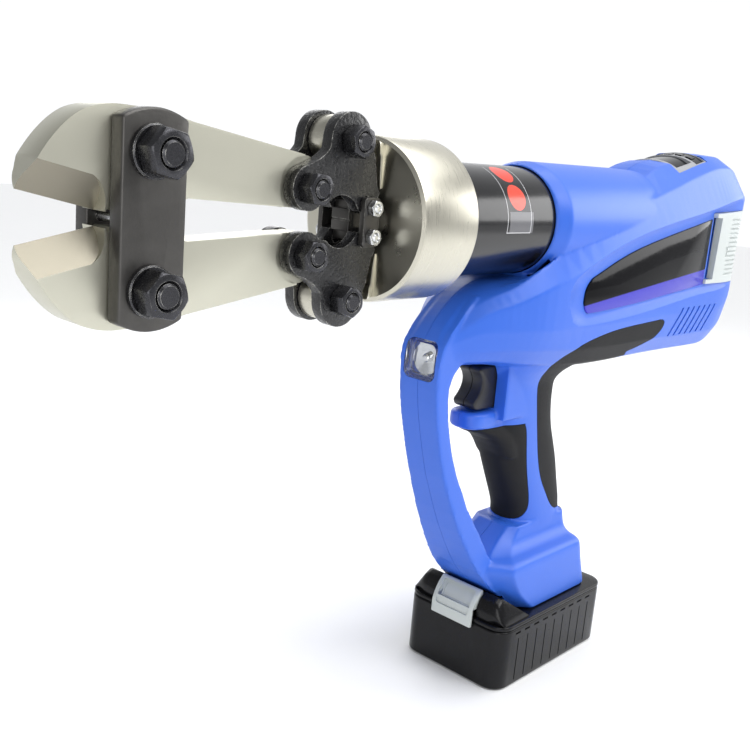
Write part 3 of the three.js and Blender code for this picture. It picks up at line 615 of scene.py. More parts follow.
def build_neck():
    low, high, r = NECK_LOW.x, NECK_HIGH.x, NECK_R
    rings = [(low, 6), (low, 26.2), (low + 0.8, 27), (44, 27), (44, r - 0.5), (44.5, r)]
    for start in (118, 122.5):
        rings += [(start, r), (start + 0.4, r - 0.7), (start + 1.4, r - 0.7), (start + 1.8, r)]
    rings += [(126.6, r), (127.2, r - 1.2), (high, r - 1.2)]
    rings += [(high, NECK_BORE), (low + 10, NECK_BORE), (low + 10, 6)]
    neck = lathe_x("neck", rings, 128, closed=True)
    return piece(neck, "head", NECK_BLACK, "gloss_black_cylinder", "hydraulic_cylinder", sharp=25)


def build_head():
    build_collar()
    build_neck()
    for name, sign in SIDES:
        centre = (EAR[0], AXIS_Z + sign * EAR[1])
        face = CHEEK_Y[1] + GAP
        bolt = bolt_piece(f"{name}_ear_bolt", centre, 4, 13, 5.3, face, face + 8.6, 20)
        piece(bolt, "head", OXIDE, "black_oxide", f"{name}_ear_bolt")
        nut = nut_piece(f"{name}_ear_nut", centre, 13, 8, face, 4.15, 20)
        piece(nut, "head", OXIDE, "black_oxide", f"{name}_ear_nut")


def build_ram():
    cross = sideplate("crosshead", rounded_rect(171, 182.5, AXIS_Z - 10, AXIS_Z + 10, 1.2), -5.7, 5.7, 0.4)
    nose = block("nose", 182, 184.2, -5.7, 5.7, AXIS_Z - 5.3, AXIS_Z + 5.3, 0.3)
    union(cross, nose)
    cut(cross, block("groove", 183.4, 185, -6, 6, AXIS_Z - 0.4, AXIS_Z + 0.4))
    for _, sign in SIDES:
        cut(cross, rod_y("hole", (LINK[0], AXIS_Z + sign * LINK[1]), 2.05, -8, 8))
    piece(cross, "ram", DARK_STEEL, "dark_steel", "crosshead_block")
    for side, (y0, y1) in (("left", LINK_Y), ("right", (-LINK_Y[1], -LINK_Y[0]))):
        plate = sideplate(f"{side}_link_plate", rounded_rect(173.2, 183.8, AXIS_Z - 11.5, AXIS_Z + 11.5, 2.4),
                          y0, y1, 0.45)
        for _, sign in SIDES:
            cut(plate, rod_y("hole", (LINK[0], AXIS_Z + sign * LINK[1]), 2.05, -20, 20))
        piece(plate, "ram", DARK_STEEL, "black_cast", f"{side}_link_plate")
    for name, sign in SIDES:
        centre = (LINK[0], AXIS_Z + sign * LINK[1])
        face = LINK_Y[1] + GAP
        bolt = bolt_piece(f"{name}_link_bolt", centre, 1.9, 6.4, 2.8, face, face + 3.6, 10)
        piece(bolt, "ram", ZINC, "zinc_steel", f"{name}_link_bolt")
        nut = nut_piece(f"{name}_link_nut", centre, 7, 3.2, face, 2.05, 10)
        piece(nut, "ram", ZINC, "zinc_steel", f"{name}_link_nut")


def cheek_outline():
    pts = [(171.2, 13.5), (175.6, 4.6)]
    pts += arc(*LINK, 3.4, 215, 310, 8)
    pts += arc(195.5, 0, 12, 156, 45, 12)
    pts += arc(*TAIL, 10, 225, 440, 24)
    pts += curve(pts[-1], (208, 28), (205.2, 32.5), steps=8)[1:]
    pts += arc(*EAR, 12.8, -8, 170, 24)[1:]
    pts += [(175.6, 28), (173.4, 17)]
    return [(x, AXIS_Z + z) for x, z in pts]


def build_levers():
    for name, sign in SIDES:
        for side, (y0, y1) in (("left", CHEEK_Y), ("right", (-CHEEK_Y[1], -CHEEK_Y[0]))):
            cheek = sideplate(f"{name}_{side}_lever_cheek", cheek_outline(), y0, y1, 0.9, 3)
            along = math.atan2(EAR[1] - LINK[1], EAR[0] - LINK[0])
            reach = 3.1
            slot = [(LINK[0] - 0.2 * math.cos(along), AXIS_Z + LINK[1] - 0.2 * math.sin(along)),
                    (LINK[0] + reach * math.cos(along), AXIS_Z + LINK[1] + reach * math.sin(along))]
            turn = math.degrees(along)
            oval = arc(*slot[0], 2.55, turn + 90, turn + 270, 10)
            oval += arc(*slot[1], 2.55, turn - 90, turn + 90, 10)
            cut(cheek, sideplate("slot", oval, -20, 20))
            cut(cheek, rod_y("hole", (EAR[0], AXIS_Z + EAR[1]), 4.3, -20, 20))
            cut(cheek, rod_y("hole", (TAIL[0], AXIS_Z + TAIL[1]), 4.15, -20, 20))
            piece(sided(cheek, sign), f"{name}_lever", CAST, "black_cast", f"{name}_{side}_lever_cheek",
                  sharp=40)
        centre = (TAIL[0], AXIS_Z + sign * TAIL[1])
        face = CHEEK_Y[1] + GAP
        bolt = bolt_piece(f"{name}_tail_bolt", centre, 4, 13, 5.3, face, face + 8.6, 5)
        piece(bolt, f"{name}_lever", OXIDE, "black_oxide", f"{name}_tail_bolt")
        nut = nut_piece(f"{name}_tail_nut", centre, 13, 8, face, 4.15, 5)
        piece(nut, f"{name}_lever", OXIDE, "black_oxide", f"{name}_tail_nut")


def build_carrier():
    back, front, dz, crown = 284, 313, 38, 42
    middle = (back + front) / 2
    outline = (curve((back, AXIS_Z - dz), (middle, AXIS_Z - 2 * crown + dz), (front, AXIS_Z - dz), steps=14)
               + curve((front, AXIS_Z + dz), (middle, AXIS_Z + 2 * crown - dz), (back, AXIS_Z + dz),
                       steps=14))
    for side, (y0, y1) in (("left", PLATE_Y), ("right", (-PLATE_Y[1], -PLATE_Y[0]))):
        plate = sideplate(f"{side}_jaw_plate", outline, y0, y1, 1.0, 3)
        for _, sign in SIDES:
            cut(plate, rod_y("hole", (PIVOT[0], AXIS_Z + sign * PIVOT[1]), 5.15, -20, 20))
        cut(plate, rod_y("hole", (306.5, AXIS_Z), 2.1, -12, 12))
        piece(plate, "jaw_carrier", DARK_STEEL, "dark_steel", f"{side}_jaw_plate")
    for name, sign in SIDES:
        centre = (PIVOT[0], AXIS_Z + sign * PIVOT[1])
        face = PLATE_Y[1] + GAP
        washer_top = face + 2.5
        washer = lathe_y(f"{name}_pivot_washer", centre, [
            (face, 5.15), (face, 10.0), (face + 0.3, 10.2), (washer_top - 0.5, 10.2), (washer_top, 9.7),
            (washer_top, 5.4), (washer_top - 0.2, 5.15)], 64, closed=True)
        piece(washer, "jaw_carrier", OXIDE, "black_oxide", f"{name}_pivot_washer")
        bolt = bolt_piece(f"{name}_pivot_bolt", centre, 5, 17, 6.4, face, washer_top + GAP + 10.6, 12)
        piece(bolt, "jaw_carrier", OXIDE, "black_oxide", f"{name}_pivot_bolt")
        nut = nut_piece(f"{name}_pivot_nut", centre, 17, 10, washer_top + GAP, 5.15, 12)
        piece(nut, "jaw_carrier", OXIDE, "black_oxide", f"{name}_pivot_nut")


def jaw_outline():
    pts = [(314.4, 2.98), (346, 9.9)]
    pts += curve((346, 9.9), (346.2, 13.5), (343.8, 16.7), steps=6)[1:]
    pts += curve((343.8, 16.7), (339, 26), (331, 36), (322.8, 39.4), steps=16)[1:]
    pts += curve((322.8, 39.4), (316, 42), (308.7, 42), steps=8)[1:]
    pts += [(292, 41.5), (276, 38), (212, 28)]
    pts += curve((212, 28), (207, 27), (206.6, 20), steps=6)[1:]
    pts += arc(*TAIL, 9.5, 170, 285, 16)
    pts += [(277, 8.5), (296, 3.2), (309.7, 3.2)]
    pts += arc(311.9, 2, 2.5, 151, 23, 8)
    return [(x, AXIS_Z + z) for x, z in pts]


def bevel_cutter(side):
    """Grinds one face of the jaw down to the edge, which slopes with the jaw."""
    slope = math.radians(12.4)
    wedge = [(0.15, 0), (0.15, -30), (14, -30), (14, 12 * 14 / JAW_HALF)]

    def place(along, y, up):
        return (313.6 + along * math.cos(slope) - up * math.sin(slope), side * y,
                AXIS_Z + 2.8 + along * math.sin(slope) + up * math.cos(slope))

    rounded_end = ([(1.2, -30), (1.2, 2)] + curve((1.2, 2), (2.6, 11.5), (12, 12.6), steps=12)
                   + [(63, 12.8), (63, -30)])
    grind = loft("bevel", [[place(a, y, up) for y, up in wedge] for a in (0, 63)])
    limit = loft("limit", [[place(a, y, up) for a, up in rounded_end] for y in (0.1, 20)])
    return common(grind, limit)


def build_jaws():
    for name, sign in SIDES:
        jaw = sideplate(f"{name}_jaw", jaw_outline(), -JAW_HALF, JAW_HALF, 1.1, 3, 0)
        around = rod_y("around", (TAIL[0], AXIS_Z + TAIL[1]), 13.5, -20, 20)
        union(around, block("behind", 190, 216, -20, 20, AXIS_Z, AXIS_Z + 50))
        cut(around, block("waist", 180, 240, -5.5, 5.5, AXIS_Z - 10, AXIS_Z + 60))
        cut(jaw, around, bevel_cutter(1), bevel_cutter(-1))
        cut(jaw, rod_y("hole", (TAIL[0], AXIS_Z + TAIL[1]), 5.9, -20, 20))
        cut(jaw, rod_y("hole", (PIVOT[0], AXIS_Z + PIVOT[1]), 5.3, -20, 20))
        piece(sided(jaw, sign), f"{name}_jaw_body", JAW_STEEL, "jaw_steel", f"{name}_jaw", sharp=25)


# ---------- housing form ----------
# Each station of the upper body: X, then half-profile points from the top centre to the bottom centre.
STATIONS = [
    (114, [(0, 214), (8, 214), (11.5, 213), (13, 210), (13, 209),
          (13, 207), (12.5, 204), (8, 202), (0, 202)]),
    (104, [(0, 228), (8, 227), (12, 224.5), (15, 220), (15.4, 216),
          (14.6, 210), (13.5, 205), (8, 201), (0, 201)]),
    (88, [(0, 241), (9, 240), (17, 237.5), (22.5, 232), (23.5, 222),
         (21.5, 211), (17, 204), (9, 201), (0, 201)]),
    (70, [(0, 247), (16, 246), (26.5, 246.5), (31, 238.5), (31, 222),
         (28, 211), (21, 203), (12, 200), (0, 199)]),
    (45, [(0, 249), (20, 250), (31, 261), (37.6, 248), (37, 222),
         (33.5, 210), (26, 200), (14, 196), (0, 195)]),
    (2, [(0, 262), (20, 270), (33.5, 278), (39, 261.5), (38, 222),
        (36, 208), (28, 197), (18, 193), (0, 192)]),
    (-39, [(0, 290), (20, 292), (32.5, 292), (39.3, 273), (38, 222),
          (36, 207), (28, 196), (18, 191.5), (0, 190.5)]),
    (-84, [(0, 315), (16, 313.5), (31, 302.5), (39.4, 282.5), (38, 222),
          (36, 207), (28, 196), (18, 191.5), (0, 190.5)]),
    (-112, [(0, 321.5), (15.5, 320), (30, 309.8), (39.4, 286.5), (38, 222),
           (36, 206), (28.5, 195.5), (18, 191.5), (0, 190.5)]),
    (-148, [(0, 327.3), (16, 326), (28.6, 317.8), (39.3, 293), (38, 222),
           (36, 205.5), (29, 195), (18, 191.5), (0, 190.5)]),
    (-167, [(0, 328.0), (16, 326.9), (28, 319.8), (39, 297.5), (37.8, 222),
           (36, 206), (29.5, 195.5), (17, 191.5), (0, 190.5)]),
    (-180, [(0, 327.8), (15, 326.6), (27.5, 319.2), (37.6, 300), (36.8, 224),
           (34.5, 209), (29, 199.5), (16, 194), (0, 193)]),
    (-190, [(0, 324.6), (14, 323.4), (26.5, 315), (35.6, 301), (35, 228),
           (32.5, 215.5), (28, 206), (15, 200), (0, 199)]),
    (-199, [(0, 318.6), (13, 317.4), (24, 309.6), (32, 299), (31.5, 236),
           (29.5, 224), (25, 215.5), (14, 210.5), (0, 209.5)]),
    (-206, [(0, 307), (10, 306), (16, 303), (25, 297), (25.5, 250),
           (24, 240), (19, 232), (11, 229.5), (0, 229)]),
]


def full_ring(x, half):
    left = [(x, y, z) for y, z in half]
    right = [(x, -y, z) for y, z in half[1:-1]][::-1]
    return left + right


def superellipse(x0, x1, half, z, power=2.6, steps=48):
    cx, a = (x0 + x1) / 2, (x1 - x0) / 2
    ring = []
    for i in range(steps):
        t = 2 * math.pi * i / steps
        c, s = math.cos(t), math.sin(t)
        ring.append((cx + a * math.copysign(abs(c) ** (2 / power), c),
                     half * math.copysign(abs(s) ** (2 / power), s), z))
    return ring


# Grip: Z, rear X, front X, half width.
GRIP = [(60, -38, 34, 18), (84, -35.5, 20, 17.5), (95, -33, 20, 16.6), (102, -32, 22, 16.2),
        (115, -28, 29, 16), (128, -24, 36, 16), (140, -19, 42, 16), (152, -13.5, 47, 16.2),
        (164, -10, 50, 16.6), (176, -8.5, 52, 17), (184, -9, 53, 18), (190, -16, 54, 21),
        (195, -29, 56, 25), (200, -40, 58, 28), (212, -60, 60, 30)]
# Strut: Z, rear X, front X, half width.
STRUT = [(41.3, -6, 26, 24), (49, 8, 38.5, 22.6), (57, 24, 48, 21), (65, 36.5, 56.5, 20),
         (73, 47.5, 64, 18.8), (82, 54.5, 70.5, 17.8), (92, 60.5, 77, 16.8), (102, 67, 83, 15.8),
         (114, 75.5, 89.4, 15), (126, 82, 95, 14.2), (138, 88.5, 100.5, 13.7), (150, 94, 104.8, 13.4),
         (161, 98, 108.2, 13.4), (172, 101.2, 111.4, 13.5), (182, 103, 113.6, 13.6),
         (190, 103.5, 114.8, 13.7), (197, 101, 115.2, 13.8), (203, 95, 115.2, 14), (209, 88, 114.8, 14.3),
         (214, 86, 113, 14.4), (221, 85, 108, 14.4), (229, 80, 100.5, 14.2), (235, 75, 94.5, 14),
         (240, 70, 88, 13.5)]
# Base: Z, rear X, side's front X, nose X, side half width, nose half width.
BASE = [(41.3, -47, 18, 26, 31, 23), (46, -45.5, 24, 33, 31, 22), (54, -42.5, 33, 43, 31, 21),
        (62, -39.5, 39, 51, 31, 20), (70, -37, 44, 57, 31, 19), (73.3, -36.2, 43.5, 57, 30.5, 18.6),
        (75.4, -34.8, 42, 56, 28.8, 18), (76.8, -33.4, 40, 54, 26, 17), (78.4, -33, 37, 50, 22.6, 15.5),
        (81, -33.2, 33, 45, 19.6, 14), (85, -33.6, 28, 38, 17.6, 12.5), (92, -33, 22, 27, 16.6, 11)]


def base_ring(z, rear, side_front, nose, half, nose_half, r=8, steps=6):
    left = arc(rear + r, half - r, r, 180, 90, steps) + [(side_front, half), (nose, nose_half)]
    left = [(rear, 0)] + left
    right = [(x, -y) for x, y in left[1:]][::-1]
    return [(x, y, z) for x, y in left + right]


# Sleeve round the neck: X, half width, half height.
SLEEVE = [(-130, 20, 20), (-110, 34, 32), (-60, 36.4, 33.4), (37.5, 36.2, 33.4), (46, 31.6, 31.4)]


def smooth_rings(stations, steps=4):
    """Runs a spline through each profile point of the stations, from front to rear."""
    columns = [spline([(x, *half[k]) for x, half in stations], steps) for k in range(len(stations[0][1]))]
    return [full_ring(points[0][0], [p[1:] for p in points]) for points in zip(*columns)]


def body_form():
    upper = loft("form", smooth_rings(STATIONS))
    sleeve = loft("sleeve", [[(x, wide * c, AXIS_Z + tall * s) for c, s in arc(0, 0, 1, 0, 360, 128)[:-1]]
                             for x, wide, tall in SLEEVE])
    grip = loft("grip", [superellipse(x0, x1, w, z) for z, x0, x1, w in spline(GRIP, 4)])
    strut = loft("strut", [[(x0, -w, z), (x1, -w, z), (x1, w, z), (x0, w, z)] for z, x0, x1, w in STRUT])
    base = loft("base", [base_ring(*row) for row in spline(BASE, 3)])
    ledge = plan("ledge", rounded_rect(30, 75, -11, 11, 9.5), 160, 170, 2.5, 3)
    pad = loft("pad", [superellipse(x0, x1, w, z) for z, x0, x1, w in (
        (138, 20, 40, 14), (146, 20, 46.5, 14.4), (151, 20, 52, 14), (155, 20, 60, 13.2),
        (158, 20, 68, 12), (161, 20, 71.5, 11))])
    switch = block("switch", 20, 53, -16.5, 16.5, 165, 205)
    form = union(upper, sleeve, grip, strut, base, ledge, pad, switch)
    modified(form, "REMESH", mode="VOXEL", voxel_size=VOXEL * MM)
    modified(form, "SMOOTH", factor=0.5, iterations=3)
    return form


RECESS = ([(29, 236), (24, 228)]
          + spline([(18, 225.5), (-20, 227), (-53, 229), (-100, 234), (-142, 238), (-215, 241)], 4)
          + [(-215, 300)]
          + spline([(-182, 297), (-135, 287), (-55, 274), (-11, 263), (22, 250), (30, 243)], 4))
# Y of the recess floor, and how far the skins, the core under them and the cap's ribs go in.
RECESS_Y = 36
CORE_DEPTH, SKIN_DEPTH, RIB_DEPTH = 2.2, 1.9, 0.9
LABEL_OUTLINE = (spline([(15, 236), (14.5, 243), (10.5, 248.5), (2, 252.5), (-45, 267), (-141, 285)], 5)
                 + [(-141, 240)]
                 + spline([(-100, 236.5), (-45, 232), (2, 229.5), (11, 230.5), (15, 236)], 5)[:-1])
REAR_RUBBER = (spline([(25, 190), (25, 198), (18, 206), (4, 212), (-29, 217), (-84, 219.5)], 5)
               + curve((-84, 219.5), (-93, 219), (-89, 213), steps=6)[1:]
               + curve((-89, 213), (-83, 206), (-57, 199), steps=6)[1:]
               + [(-70, 180), (-70, 90), (-33, 90)]
               + spline([(-28, 94), (-15, 97), (-5, 108), (7, 127), (17, 160)], 5))
FRONT_RUBBER = (spline([(29, 159.8), (26, 153), (20, 130), (12, 106), (13.5, 97), (20, 93), (30, 91.5)], 5)
                + [(46, 95), (56, 112), (70, 140), (80, 159.8)])
CAP_FRONT, CAP_LOW, CAP_HIGH = -151, 240.5, 290
CAP_LIP = 8
CAP_OUTLINE = [(CAP_FRONT + CAP_LIP + 2, CAP_LOW), (-260, CAP_LOW - 1), (-260, CAP_HIGH + 5),
               (CAP_FRONT + CAP_LIP, CAP_HIGH - 1), (CAP_FRONT + CAP_LIP, CAP_HIGH - 4),
               (CAP_FRONT, CAP_HIGH - 4),
               (CAP_FRONT, CAP_LOW + 3), (CAP_FRONT + CAP_LIP + 2, CAP_LOW + 3)]


def zone(name, outline, grow=0.0):
    return sideplate(name, offset(outline, grow) if grow else outline, -70, 70)


def vents():
    slots = []
    for i in range(7):
        x = -114 - 8.3 * i
        outline = [(x - 1, 225.5), (x + 1.3, 225.5), (x + 14.8, 206.5), (x + 12.4, 206.5)]
        slot = sideplate("vent", outline, 33.5, 45)
        slots += [mirror_y(copy(slot)), slot]
    return slots


def build_chamber():
    """The drive's chamber: the upper body's own stations, drawn in towards its middle."""
    middle = AXIS_Z - 25
    rings = []
    for x, half in STATIONS[4:14]:
        rings.append(full_ring(x, [(y * 0.86, middle + (z - middle) * 0.9) for y, z in half]))
    return loft("chamber", rings)


def build_housing():
    form = body_form()
    whole = copy(form)
    core = shrunk(form, CORE_DEPTH)
    core_grown = shrunk(form, SKIN_DEPTH)
    shallow = shrunk(form, RIB_DEPTH)
    for target, depth, grow in ((form, 0, 8), (core, CORE_DEPTH, 4), (core_grown, SKIN_DEPTH, 4)):
        recess = sideplate("recess", RECESS, RECESS_Y - depth, 41, grow=grow)
        cut(target, mirror_y(copy(recess)), recess)
    shell = copy(form)

    skins = (
        ("rear_grip_rubber", REAR_RUBBER, RUBBER, "grip_rubber"),
        ("front_grip_rubber", FRONT_RUBBER, RUBBER, "grip_rubber"),
        ("rear_cap", CAP_OUTLINE, WHITE, "white_plastic"),
    )
    for name, outline, material, slot in skins:
        skin = common(copy(whole if name == "rear_cap" else form), zone("zone", outline, -0.2))
        skin.name = name
        cut(skin, core_grown, keep=True)
        cut(shell, zone("zone", outline, 0.2))
        if name == "rear_cap":
            detail_cap(skin, shallow)
        piece(skin, "housing", material, slot, name)
    for side, sign in (("left", 1), ("right", -1)):
        panel = sideplate(f"{side}_label_panel", offset(LABEL_OUTLINE, -0.2), 35.2, 36.75, 0.25, 2)
        pocket = sideplate("pocket", LABEL_OUTLINE, 35, 45)
        if sign < 0:
            mirror_y(panel)
            mirror_y(pocket)
        cut(shell, pocket)
        piece(panel, "housing", LABEL, "gloss_black_panel", f"{side}_label_panel")
    union(shell, common(core, form, keep=True))
    drop(core_grown)
    drop(shallow)
    drop(whole)

    cut(shell, build_chamber())
    cut(shell, *vents())
    for side in (1, -1):
        cut(shell, block("cap_gap", CAP_FRONT - 0.3, CAP_FRONT + CAP_LIP - 1, side * 31, side * 45,
                         CAP_LOW + 3.2, CAP_HIGH - 4.2))
    cut(shell, lathe_x("neck_hole", [(0, 27.6), (36, 27.6), (36, NECK_R + 0.5), (127, NECK_R + 0.5)], 96))
    cut(shell, block("neck_room", 46.5, 140, -29, 29, AXIS_Z, AXIS_Z + 40))
    cut(shell, block("trigger_room", 37, 80, -8.5, 8.5, 171, 197.5))
    cut(shell, block("dock", -42, 80, -18.4, 18.4, 40, 49.5), block("dock", -42, 80, -22.4, 22.4, 48.6, 53.4))
    lamp = sideplate_x("lamp", rounded_rect(-11, 11, 194, 216, 4.5), 106, 130)
    cut(shell, lamp)
    cut(shell, display_block("display", 0, 44.1, 0, -7, 16))
    cut(shell, block("seam_cut", -300, 200, -SEAM, SEAM, 0, 400))
    for side, sign in (("left", 1), ("right", -1)):
        half = common(copy(shell), block("half", -300, 200, 0, 80 * sign, 0, 400))
        half.name = f"{side}_housing_shell"
        piece(half, "housing", BLUE, "blue_plastic", f"{side}_housing_shell", sharp=38)
    drop(shell)
    build_lamp(form)
    build_display()
    drop(form)


def shrunk(form, distance):
    twin = modified(copy(form), "DISPLACE", strength=-distance * MM, mid_level=0.0)
    return modified(twin, "REMESH", mode="VOXEL", voxel_size=1.3 * MM)


def detail_cap(cap, shallow):
    """Shallow level ribs round the rear and a thumb dimple on each side."""
    for i in range(13):
        z = 246 + 3.2 * i
        rib = block("rib", -260, -169, -60, 60, z, z + 1.2)
        cut(cap, cut(rib, shallow, keep=True))
    for side in (1, -1):
        outline = curve((-168, 266), (-160, 266), (-162, 258), (-170, 254), (-172, 262), (-168, 266),
                        steps=16)
        dimple = sideplate("dimple", outline[:-1], 37.6, 45, grow=2.0)
        cut(cap, dimple if side > 0 else mirror_y(dimple))


# The display lies on the dome's front slope: X, Z, half width and crown at its front and rear edges.
DISPLAY_FRONT, DISPLAY_REAR = (-108.1, 313.9, 23.2, 7.2), (-151.2, 322.9, 21.2, 5)


def display_block(name, near, far, side, low, high):
    """A crowned slab of the display, from near to far along it and in from the sides."""
    front, rear = Vector(DISPLAY_FRONT), Vector(DISPLAY_REAR)
    length = (Vector(front[:2]) - Vector(rear[:2])).length
    rings = []
    for i in range(17):
        across = -1 + i / 8
        ring = []
        for along, up in ((near, low), (far, low), (far, high), (near, high)):
            x, z, half, crown = front.lerp(rear, along / length)
            ring.append((x, across * (half - side), z + up + crown * (1 - abs(across) ** 2.4)))
        rings.append(ring)
    return loft(name, rings)


def build_display():
    edge = rounded(display_block("display_frame", GAP, 43.8, GAP, -6.7, 0), 0.5, 2, 40)
    cut(edge, display_block("opening", 3.4, 27, 4.2, -3, 5), display_block("opening", 29.5, 42.6, 1.4, -3, 5))
    piece(edge, "housing", GREY, "grey_plastic", "display_frame")
    window = display_block("display_window", 3.6, 26.8, 4.4, -2.8, -0.7)
    union(window, display_block("keys", 29.7, 42.4, 1.6, -2.8, -0.3))
    for i in range(4):
        key = display_block("key", 33.5, 38.5, 1.6, -1, 0.25)
        y = -12 + 8 * i
        common(key, block("slice", -200, -100, y - 2.4, y + 2.4, 300, 340))
        union(window, key)
    piece(window, "housing", SCREEN, "gloss_black_panel", "display_window")


def build_lamp(form):
    lens = common(copy(form), sideplate_x("lens", rounded_rect(-10.7, 10.7, 194.3, 215.7, 4.3), 109, 130))
    lens.name = "lamp_lens"
    hollow = sideplate_x("hollow", rounded_rect(-8.5, 8.5, 196.5, 213.5, 3.5), 100, 111.5)
    cut(lens, hollow)
    piece(lens, "housing", CLEAR, "clear_lens", "lamp_lens")
    dish = lathe_x("lamp_reflector", [(106.3, 8.8), (108.6, 8.8), (108.6, 8.2), (107.2, 3), (107.2, 1.2)], 48,
                   z=205)
    bulb = lathe_x("bulb", [(106.8, 2.2), (108.8, 2.2), (109.4, 1.6), (109.6, 0.6)], 24, z=205)
    union(dish, bulb)
    piece(dish, "housing", POLISHED, "lamp_reflector", "lamp_reflector")


# ---------- trigger and battery ----------
def build_trigger():
    outline = ([(44, 171.5), (66, 171.5)] + curve((66, 171.5), (72, 171.5), (72, 176.5), steps=6)[1:]
               + curve((72, 176.5), (60, 186), (70, 195), steps=12)[1:] + [(68, 197), (44, 197)])
    trigger = sideplate("trigger", outline, -8, 8, 1.4, 3)
    cut(trigger, block("seam", 60, 80, -0.25, 0.25, 160, 200))
    piece(trigger, "trigger_body", BLACK_PLASTIC, "trigger_plastic", "trigger")


def build_battery():
    x0, x1 = BATTERY_LOW.x, BATTERY_HIGH.x
    y0, y1 = BATTERY_LOW.y, BATTERY_HIGH.y
    case = plan("battery_case", rounded_rect(x0, x1, y0, y1, 11, 10), 0, CASE_TOP, 1.2, 3)
    cut(case, plan("hollow", rounded_rect(x0 + 2.5, x1 - 2.5, y0 + 2.5, y1 - 2.5, 8.5), 2.5, CASE_TOP + 5))
    for i in range(9):
        x = -40 + 10 * i
        for side in (1, -1):
            cut(case, block("flute", x, x + 0.9, side * (y1 - 0.35), side * (y1 + 3), 3, 31))
            cut(case, block("dash", x - 1, x + 4.5, side * (y1 - 1.0), side * (y1 + 3), 34.3, 35.5))
    cut(case, block("thumb", x1 - 3, x1 + 3, -13.5, 13.5, 33.5, CASE_TOP + 2))
    piece(case, "battery", BATTERY_BLACK, "black_plastic", "battery_case")

    flat, top = CASE_TOP + GAP, 41
    cover = plan("battery_cover", rounded_rect(x0, x1, y0, y1, 11, 10), flat, top, 0.9, 3)
    # The hump leans against the base: its back rises with the base's front face.
    foot, crest, rise = 27.6, 50.2, 15.1
    slope = spline([(x1 - 2, 0.1), (57.6, 4.7), (56.4, 8.6), (54, 12.6), (crest, rise)], 5)
    rings = []
    # Half section: Y, share of the full height, and how far the front is drawn back.
    flank = [(25, 1, 0), (27.8, 0.94, 1), (29.5, 0.8, 1.8), (31.5, 0.56, 2.6), (33.5, 0.3, 3.6),
             (35.5, 0.05, 5)]
    for y, tall, back in [(-y, t, b) for y, t, b in flank[::-1]] + flank:
        rings.append([(foot, y, top - 0.6), (x1 - 2 - back, y, top - 0.6)]
                     + [(x - back * (1 - up / rise), y, top + up * tall) for x, up in slope]
                     + [(foot + (crest - 0.6 - foot) * tall, y, top + rise * tall)])
    union(cover, loft("hump", rings))
    for half, low, high in ((18, top - 0.3, 49), (22, 49, 53)):
        union(cover, block("rail", -41.6, 24, -half, half, low, high))
    cut(cover, block("pocket", 47.6, 80, -16, 16, top + 0.6, 80), block("pocket", 57.6, 80, -16, 16, 34, 80))
    piece(cover, "battery", BATTERY_BLACK, "black_plastic", "battery_cover")

    shape = ([(59.5, 35), (61.8, 35), (61.8, 43)] + curve((61.8, 43), (59.6, 52), (52.6, 57.6), steps=10)[1:]
             + [(51, 57), (50, 46), (59.5, 46)])
    latch = sideplate("battery_button", shape, -15.3, 15.3, 0.7, 2)
    for half, depth, low, high in ((12.2, 1.5, 42, 56.2), (9.8, 2, 43.4, 54.6)):
        pocket = sideplate_x("pocket", rounded_rect(-half, half, low, high, 1.6), 48, 66)
        cut(latch, cut(pocket, sideplate("latch_core", offset(shape, -depth), -20, 20)))
    piece(latch, "release_button", WHITE, "button_plastic", "battery_button")


build_head()
build_ram()
build_levers()
build_carrier()
build_jaws()
build_housing()
build_trigger()
build_battery()

# ---------- stage ----------
STAGE_WHITE = finish("floor", (0.93, 0.935, 0.94), 0.7, spread=0.01, grain=200, bump=0.01)
FLOOR_HALF = 4000
floor = block("floor", -FLOOR_HALF, FLOOR_HALF, -FLOOR_HALF, FLOOR_HALF, -12, -0.5)
floor.data.materials.append(STAGE_WHITE)

world = bpy.data.worlds.new("studio")
bpy.context.scene.world = world
world.use_nodes = True
sky = world.node_tree


def sky_range(source, low, high, to_low, to_high):
    fall = sky.nodes.new("ShaderNodeMapRange")
    for key, value in (("From Min", low), ("From Max", high), ("To Min", to_low), ("To Max", to_high)):
        fall.inputs[key].default_value = value
    sky.links.new(source, fall.inputs["Value"])
    return fall.outputs["Result"]


# The sky falls off with height, and the backdrop behind the tool is its bright part.
BACKDROP = (-0.74, -0.67, 0)
sky_coords = sky.nodes.new("ShaderNodeTexCoord")
sky_axes = sky.nodes.new("ShaderNodeSeparateXYZ")
sky_dot = sky.nodes.new("ShaderNodeVectorMath")
sky_dot.operation = "DOT_PRODUCT"
sky_dot.inputs[1].default_value = BACKDROP
sky_sum = sky.nodes.new("ShaderNodeMath")
sky.links.new(sky_coords.outputs["Generated"], sky_axes.inputs[0])
sky.links.new(sky_coords.outputs["Generated"], sky_dot.inputs[0])
sky.links.new(sky_range(sky_dot.outputs["Value"], 0.3, 0.8, 0.0, 0.55), sky_sum.inputs[0])
sky.links.new(sky_range(sky_axes.outputs["Z"], 0.1, 0.7, 0.5, 0.32), sky_sum.inputs[1])
sky.links.new(sky_sum.outputs["Value"], sky.nodes["Background"].inputs["Strength"])
sky.nodes["Background"].inputs["Color"].default_value = (0.97, 0.98, 1.0, 1)

TARGET = Vector((60, 0, 200))


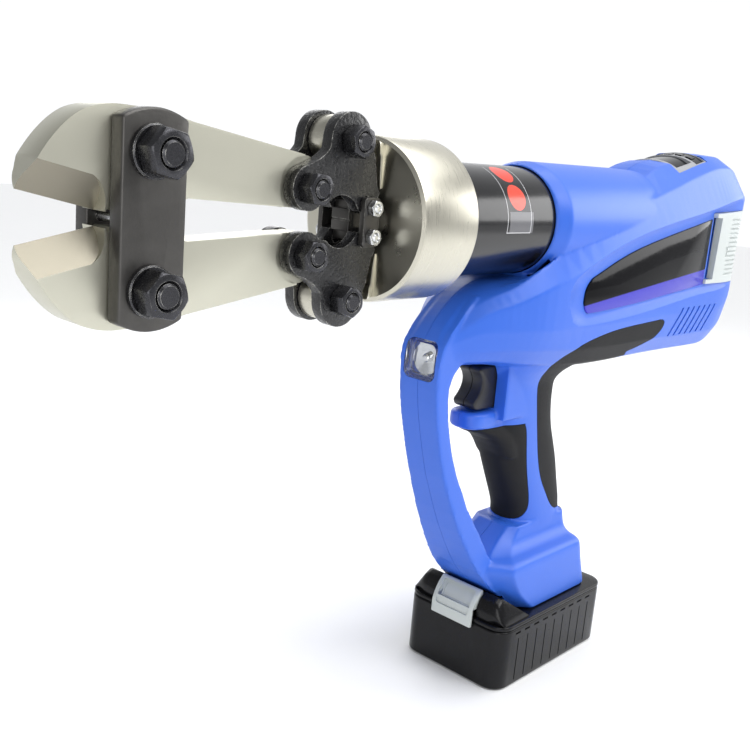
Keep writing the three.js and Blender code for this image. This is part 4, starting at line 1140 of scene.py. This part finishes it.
def area(name, place, size, power, colour=(1, 1, 1)):
    data = bpy.data.lights.new(name, "AREA")
    data.shape = "RECTANGLE"
    data.size, data.size_y = size[0] * MM, size[1] * MM
    data.energy = power
    data.color = colour
    obj = bpy.data.objects.new(name, data)
    bpy.context.scene.collection.objects.link(obj)
    obj.location = Vector(place) * MM
    obj.rotation_euler = (TARGET - Vector(place)).to_track_quat("-Z", "Y").to_euler()


area("key", (-150, 850, 1000), (600, 450), 4.5)
area("top", (-100, -100, 1200), (700, 700), 2)
area("fill", (900, 700, 420), (500, 500), 2.6)
area("rim", (-500, -900, 600), (600, 600), 2)
area("sheen", (-1100, 520, 620), (900, 600), 6)

sun_data = bpy.data.lights.new("sun", "SUN")
sun_data.energy = 1.7
sun_data.angle = math.radians(60)
sun = bpy.data.objects.new("sun", sun_data)
bpy.context.scene.collection.objects.link(sun)
sun.rotation_euler = Vector((0.25, -0.2, -1)).to_track_quat("-Z", "Y").to_euler()

# ---------- camera ----------
CAMERA_PLACE = Vector((514.94, 327.07, 315.33))
CAMERA_YAW, CAMERA_PITCH, CAMERA_ROLL = 48.13, 13.19, 4.95
CAMERA_LENS = 47.04


def add_camera():
    yaw, pitch, roll = (math.radians(v) for v in (CAMERA_YAW, CAMERA_PITCH, CAMERA_ROLL))
    ahead = Vector((-math.sin(yaw) * math.cos(pitch), -math.cos(yaw) * math.cos(pitch), -math.sin(pitch)))
    level = Vector((-math.cos(yaw), math.sin(yaw), 0))
    upward = level.cross(ahead)
    right = math.cos(roll) * level + math.sin(roll) * upward
    up = -math.sin(roll) * level + math.cos(roll) * upward
    data = bpy.data.cameras.new("camera")
    data.lens = CAMERA_LENS
    data.clip_start = 0.01
    camera = bpy.data.objects.new("camera", data)
    bpy.context.scene.collection.objects.link(camera)
    turn = Matrix((right, up, -ahead)).transposed()
    camera.matrix_world = Matrix.Translation(CAMERA_PLACE * MM) @ turn.to_4x4()
    bpy.context.scene.camera = camera


add_camera()
bpy.context.scene.view_settings.view_transform = "Standard"
